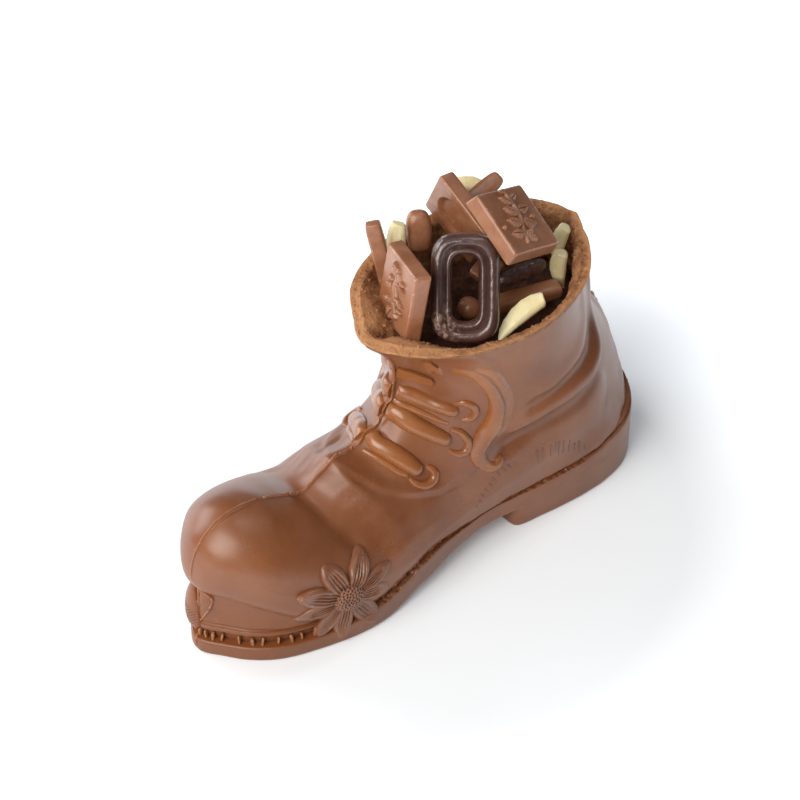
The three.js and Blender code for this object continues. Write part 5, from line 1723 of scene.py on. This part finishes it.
def make_light(name, place, aim, size, power, color):
    """A soft area light at a place in metres, aimed at a point."""
    data = bpy.data.lights.new(name, "AREA")
    data.shape = "RECTANGLE"
    data.size, data.size_y = size
    data.energy = power
    data.color = color
    light = new_object(name, data)
    light.location = place
    light.rotation_euler = (Vector(place) - Vector(aim)).to_track_quat("Z", "Y").to_euler()


def make_floor():
    """A wide white floor that runs out of sight, glowing with painted light that is dim near the boot, bright
    further out and also lights the boot from below.
    """
    mesh = bpy.data.meshes.new("studio_floor")
    corners = [(x, y, -0.0002) for x, y in ((-6, -6), (6, -6), (6, 6), (-6, 6))]
    mesh.from_pydata(corners, [], [[0, 1, 2, 3]])
    material, w, shader, where = start_material("studio_white")
    # Painted light: the floor's emission grows with distance from the boot.
    away = w.vector("DISTANCE", "Value", where, (0.0, 0.0, 0.0))
    w.fill(shader, {
        "Base Color": (0.84, 0.89, 0.95, 1), "Roughness": 0.8, "Specular IOR Level": 0.1,
        "Emission Color": (0.96, 0.98, 1, 1), "Emission Strength": w.span(away, 0.10, 0.19, 0.10, 0.80)})
    mesh.materials.append(material)
    floor = new_object("studio_floor", mesh)


def make_studio():
    """Surroundings bright low down and overhead, with one large soft light on the toe's side."""
    world = bpy.data.worlds.new("studio")
    bpy.context.scene.world = world
    world.use_nodes = True
    w = Wire(world.node_tree)
    where = w.node("ShaderNodeTexCoord", "Generated", {})
    height = w.part(where, "Z")
    side = w.vector("DOT_PRODUCT", "Value", where, (0.755, -0.656, 0.0))
    low = w.times(w.span(height, 0.0, 0.22, 1.0, 0.0), w.span(side, -0.4, 0.5, 0.10, 0.36))
    high = w.times(w.span(height, 0.45, 0.95), 0.24)
    left = w.vector("DOT_PRODUCT", "Value", where, (-0.80, 0.0, 0.60))
    bright = w.math("ADD", w.math("ADD", low, high), 0.07)
    bright = w.math("ADD", bright, w.times(w.span(left, 0.35, 1.0), 0.3))
    color = w.mix(w.span(height, 0.0, 0.5), (0.88, 0.94, 1.0, 1), (1.0, 0.98, 0.96, 1))
    w.fill(world.node_tree.nodes["Background"], {"Color": color, "Strength": bright})
    make_light("window_light", (-0.80, -0.16, 0.76), (0, 0, 0.05), (0.75, 0.75), 12.0, (1.0, 0.95, 0.87))
    make_light("far_light", (-0.30, 0.92, 0.42), (0, 0, 0.06), (0.7, 0.5), 5.5, (0.95, 0.97, 1.0))
    make_light("top_light", (0.26, 0.0, 0.86), (0, 0, 0.06), (0.16, 0.40), 0.8, (0.95, 0.97, 1.0))
    bpy.context.scene.view_settings.view_transform = "Standard"
    make_floor()


def ride_all(pieces):
    for piece in pieces:
        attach(piece, "root")


MILK_DEEP, MILK_PLAIN, MILK_HAZE = linear(117, 67, 37), linear(135, 82, 49), linear(158, 112, 88)


def main():
    make_camera()
    make_studio()
    # The body's colour at the foot of the toe is darkened with painted shade.
    body = moulded_chocolate("milk_moulded", MILK_DEEP, MILK_PLAIN, MILK_HAZE, 0.18, foot_shade_color=linear(118, 64, 24))
    trim = moulded_chocolate("milk_trim", linear(126, 72, 40), linear(158, 98, 58), linear(180, 130, 96), 0.3,
                             rough=(0.34, 0.5), scratches=0.3, worn=linear(205, 150, 104))
    broken = broken_chocolate("milk_broken", linear(84, 52, 32), linear(132, 86, 54), linear(184, 132, 90))
    tablet = moulded_chocolate("milk_tablet", linear(130, 80, 51), linear(152, 100, 70), linear(196, 150, 122),
                               0.3, rough=(0.32, 0.5), coat=0.2, coat_rough=0.32, worn=linear(206, 158, 126))
    # The laces get lighter, more orange colours than the body as painted light, standing in for the warm window
    # light on the lace panel; their lower roughness and stronger coat are their own gloss.
    lace = moulded_chocolate("milk_lace", linear(128, 73, 36), linear(152, 94, 50), linear(172, 122, 84), 0.2,
                             rough=(0.26, 0.36), coat=0.3, coat_rough=0.2, scratches=0.4)
    petal = moulded_chocolate("milk_petal", linear(112, 68, 46), linear(134, 86, 61), linear(160, 116, 92), 0.3,
                              rough=(0.34, 0.5), scratches=0.2, worn=linear(170, 122, 92))
    dark = sleek_dark("dark_gloss", linear(62, 37, 33), linear(92, 59, 53))
    # The heel marks are coloured a little darker than the body as painted shade, so the thin raised lines read
    # as dark strokes.
    mark = moulded_chocolate("milk_mark", linear(102, 66, 44), linear(122, 82, 60), linear(142, 104, 84), 0.2)
    cream = pale_almond("almond_cream")
    # Near-black broken chocolate for the heap deep inside the boot: painted shade.
    depth = broken_chocolate("filling_shade", linear(24, 12, 8), linear(58, 32, 22), linear(104, 64, 44))

    upper = make_upper(body)
    sole = make_sole(body)
    band = make_toe_band(body)
    ground = Ground(OUTER_FACE[0])
    whole_ground = Ground(*OUTER_FACE)
    rim, rim_rings = make_rim(broken)
    shell = [upper, sole, make_heel(body), band, make_lip(body), rim, make_crumbs(rim_rings, broken)]
    shell += make_laces(ground, lace) + make_strands(ground, lace) + make_seams(ground, trim)
    shell += make_toe_front(whole_ground, body, trim) + [make_stitches(trim), make_marks(ground, mark)]
    shell += make_flower(whole_ground, petal)
    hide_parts("boot")
    ride_all(shell)
    fillings = make_tiles(tablet) + make_link(dark) + make_bars(tablet, dark)
    fillings += make_slivers(cream) + make_heap(depth)
    ride_all(fillings)


main()
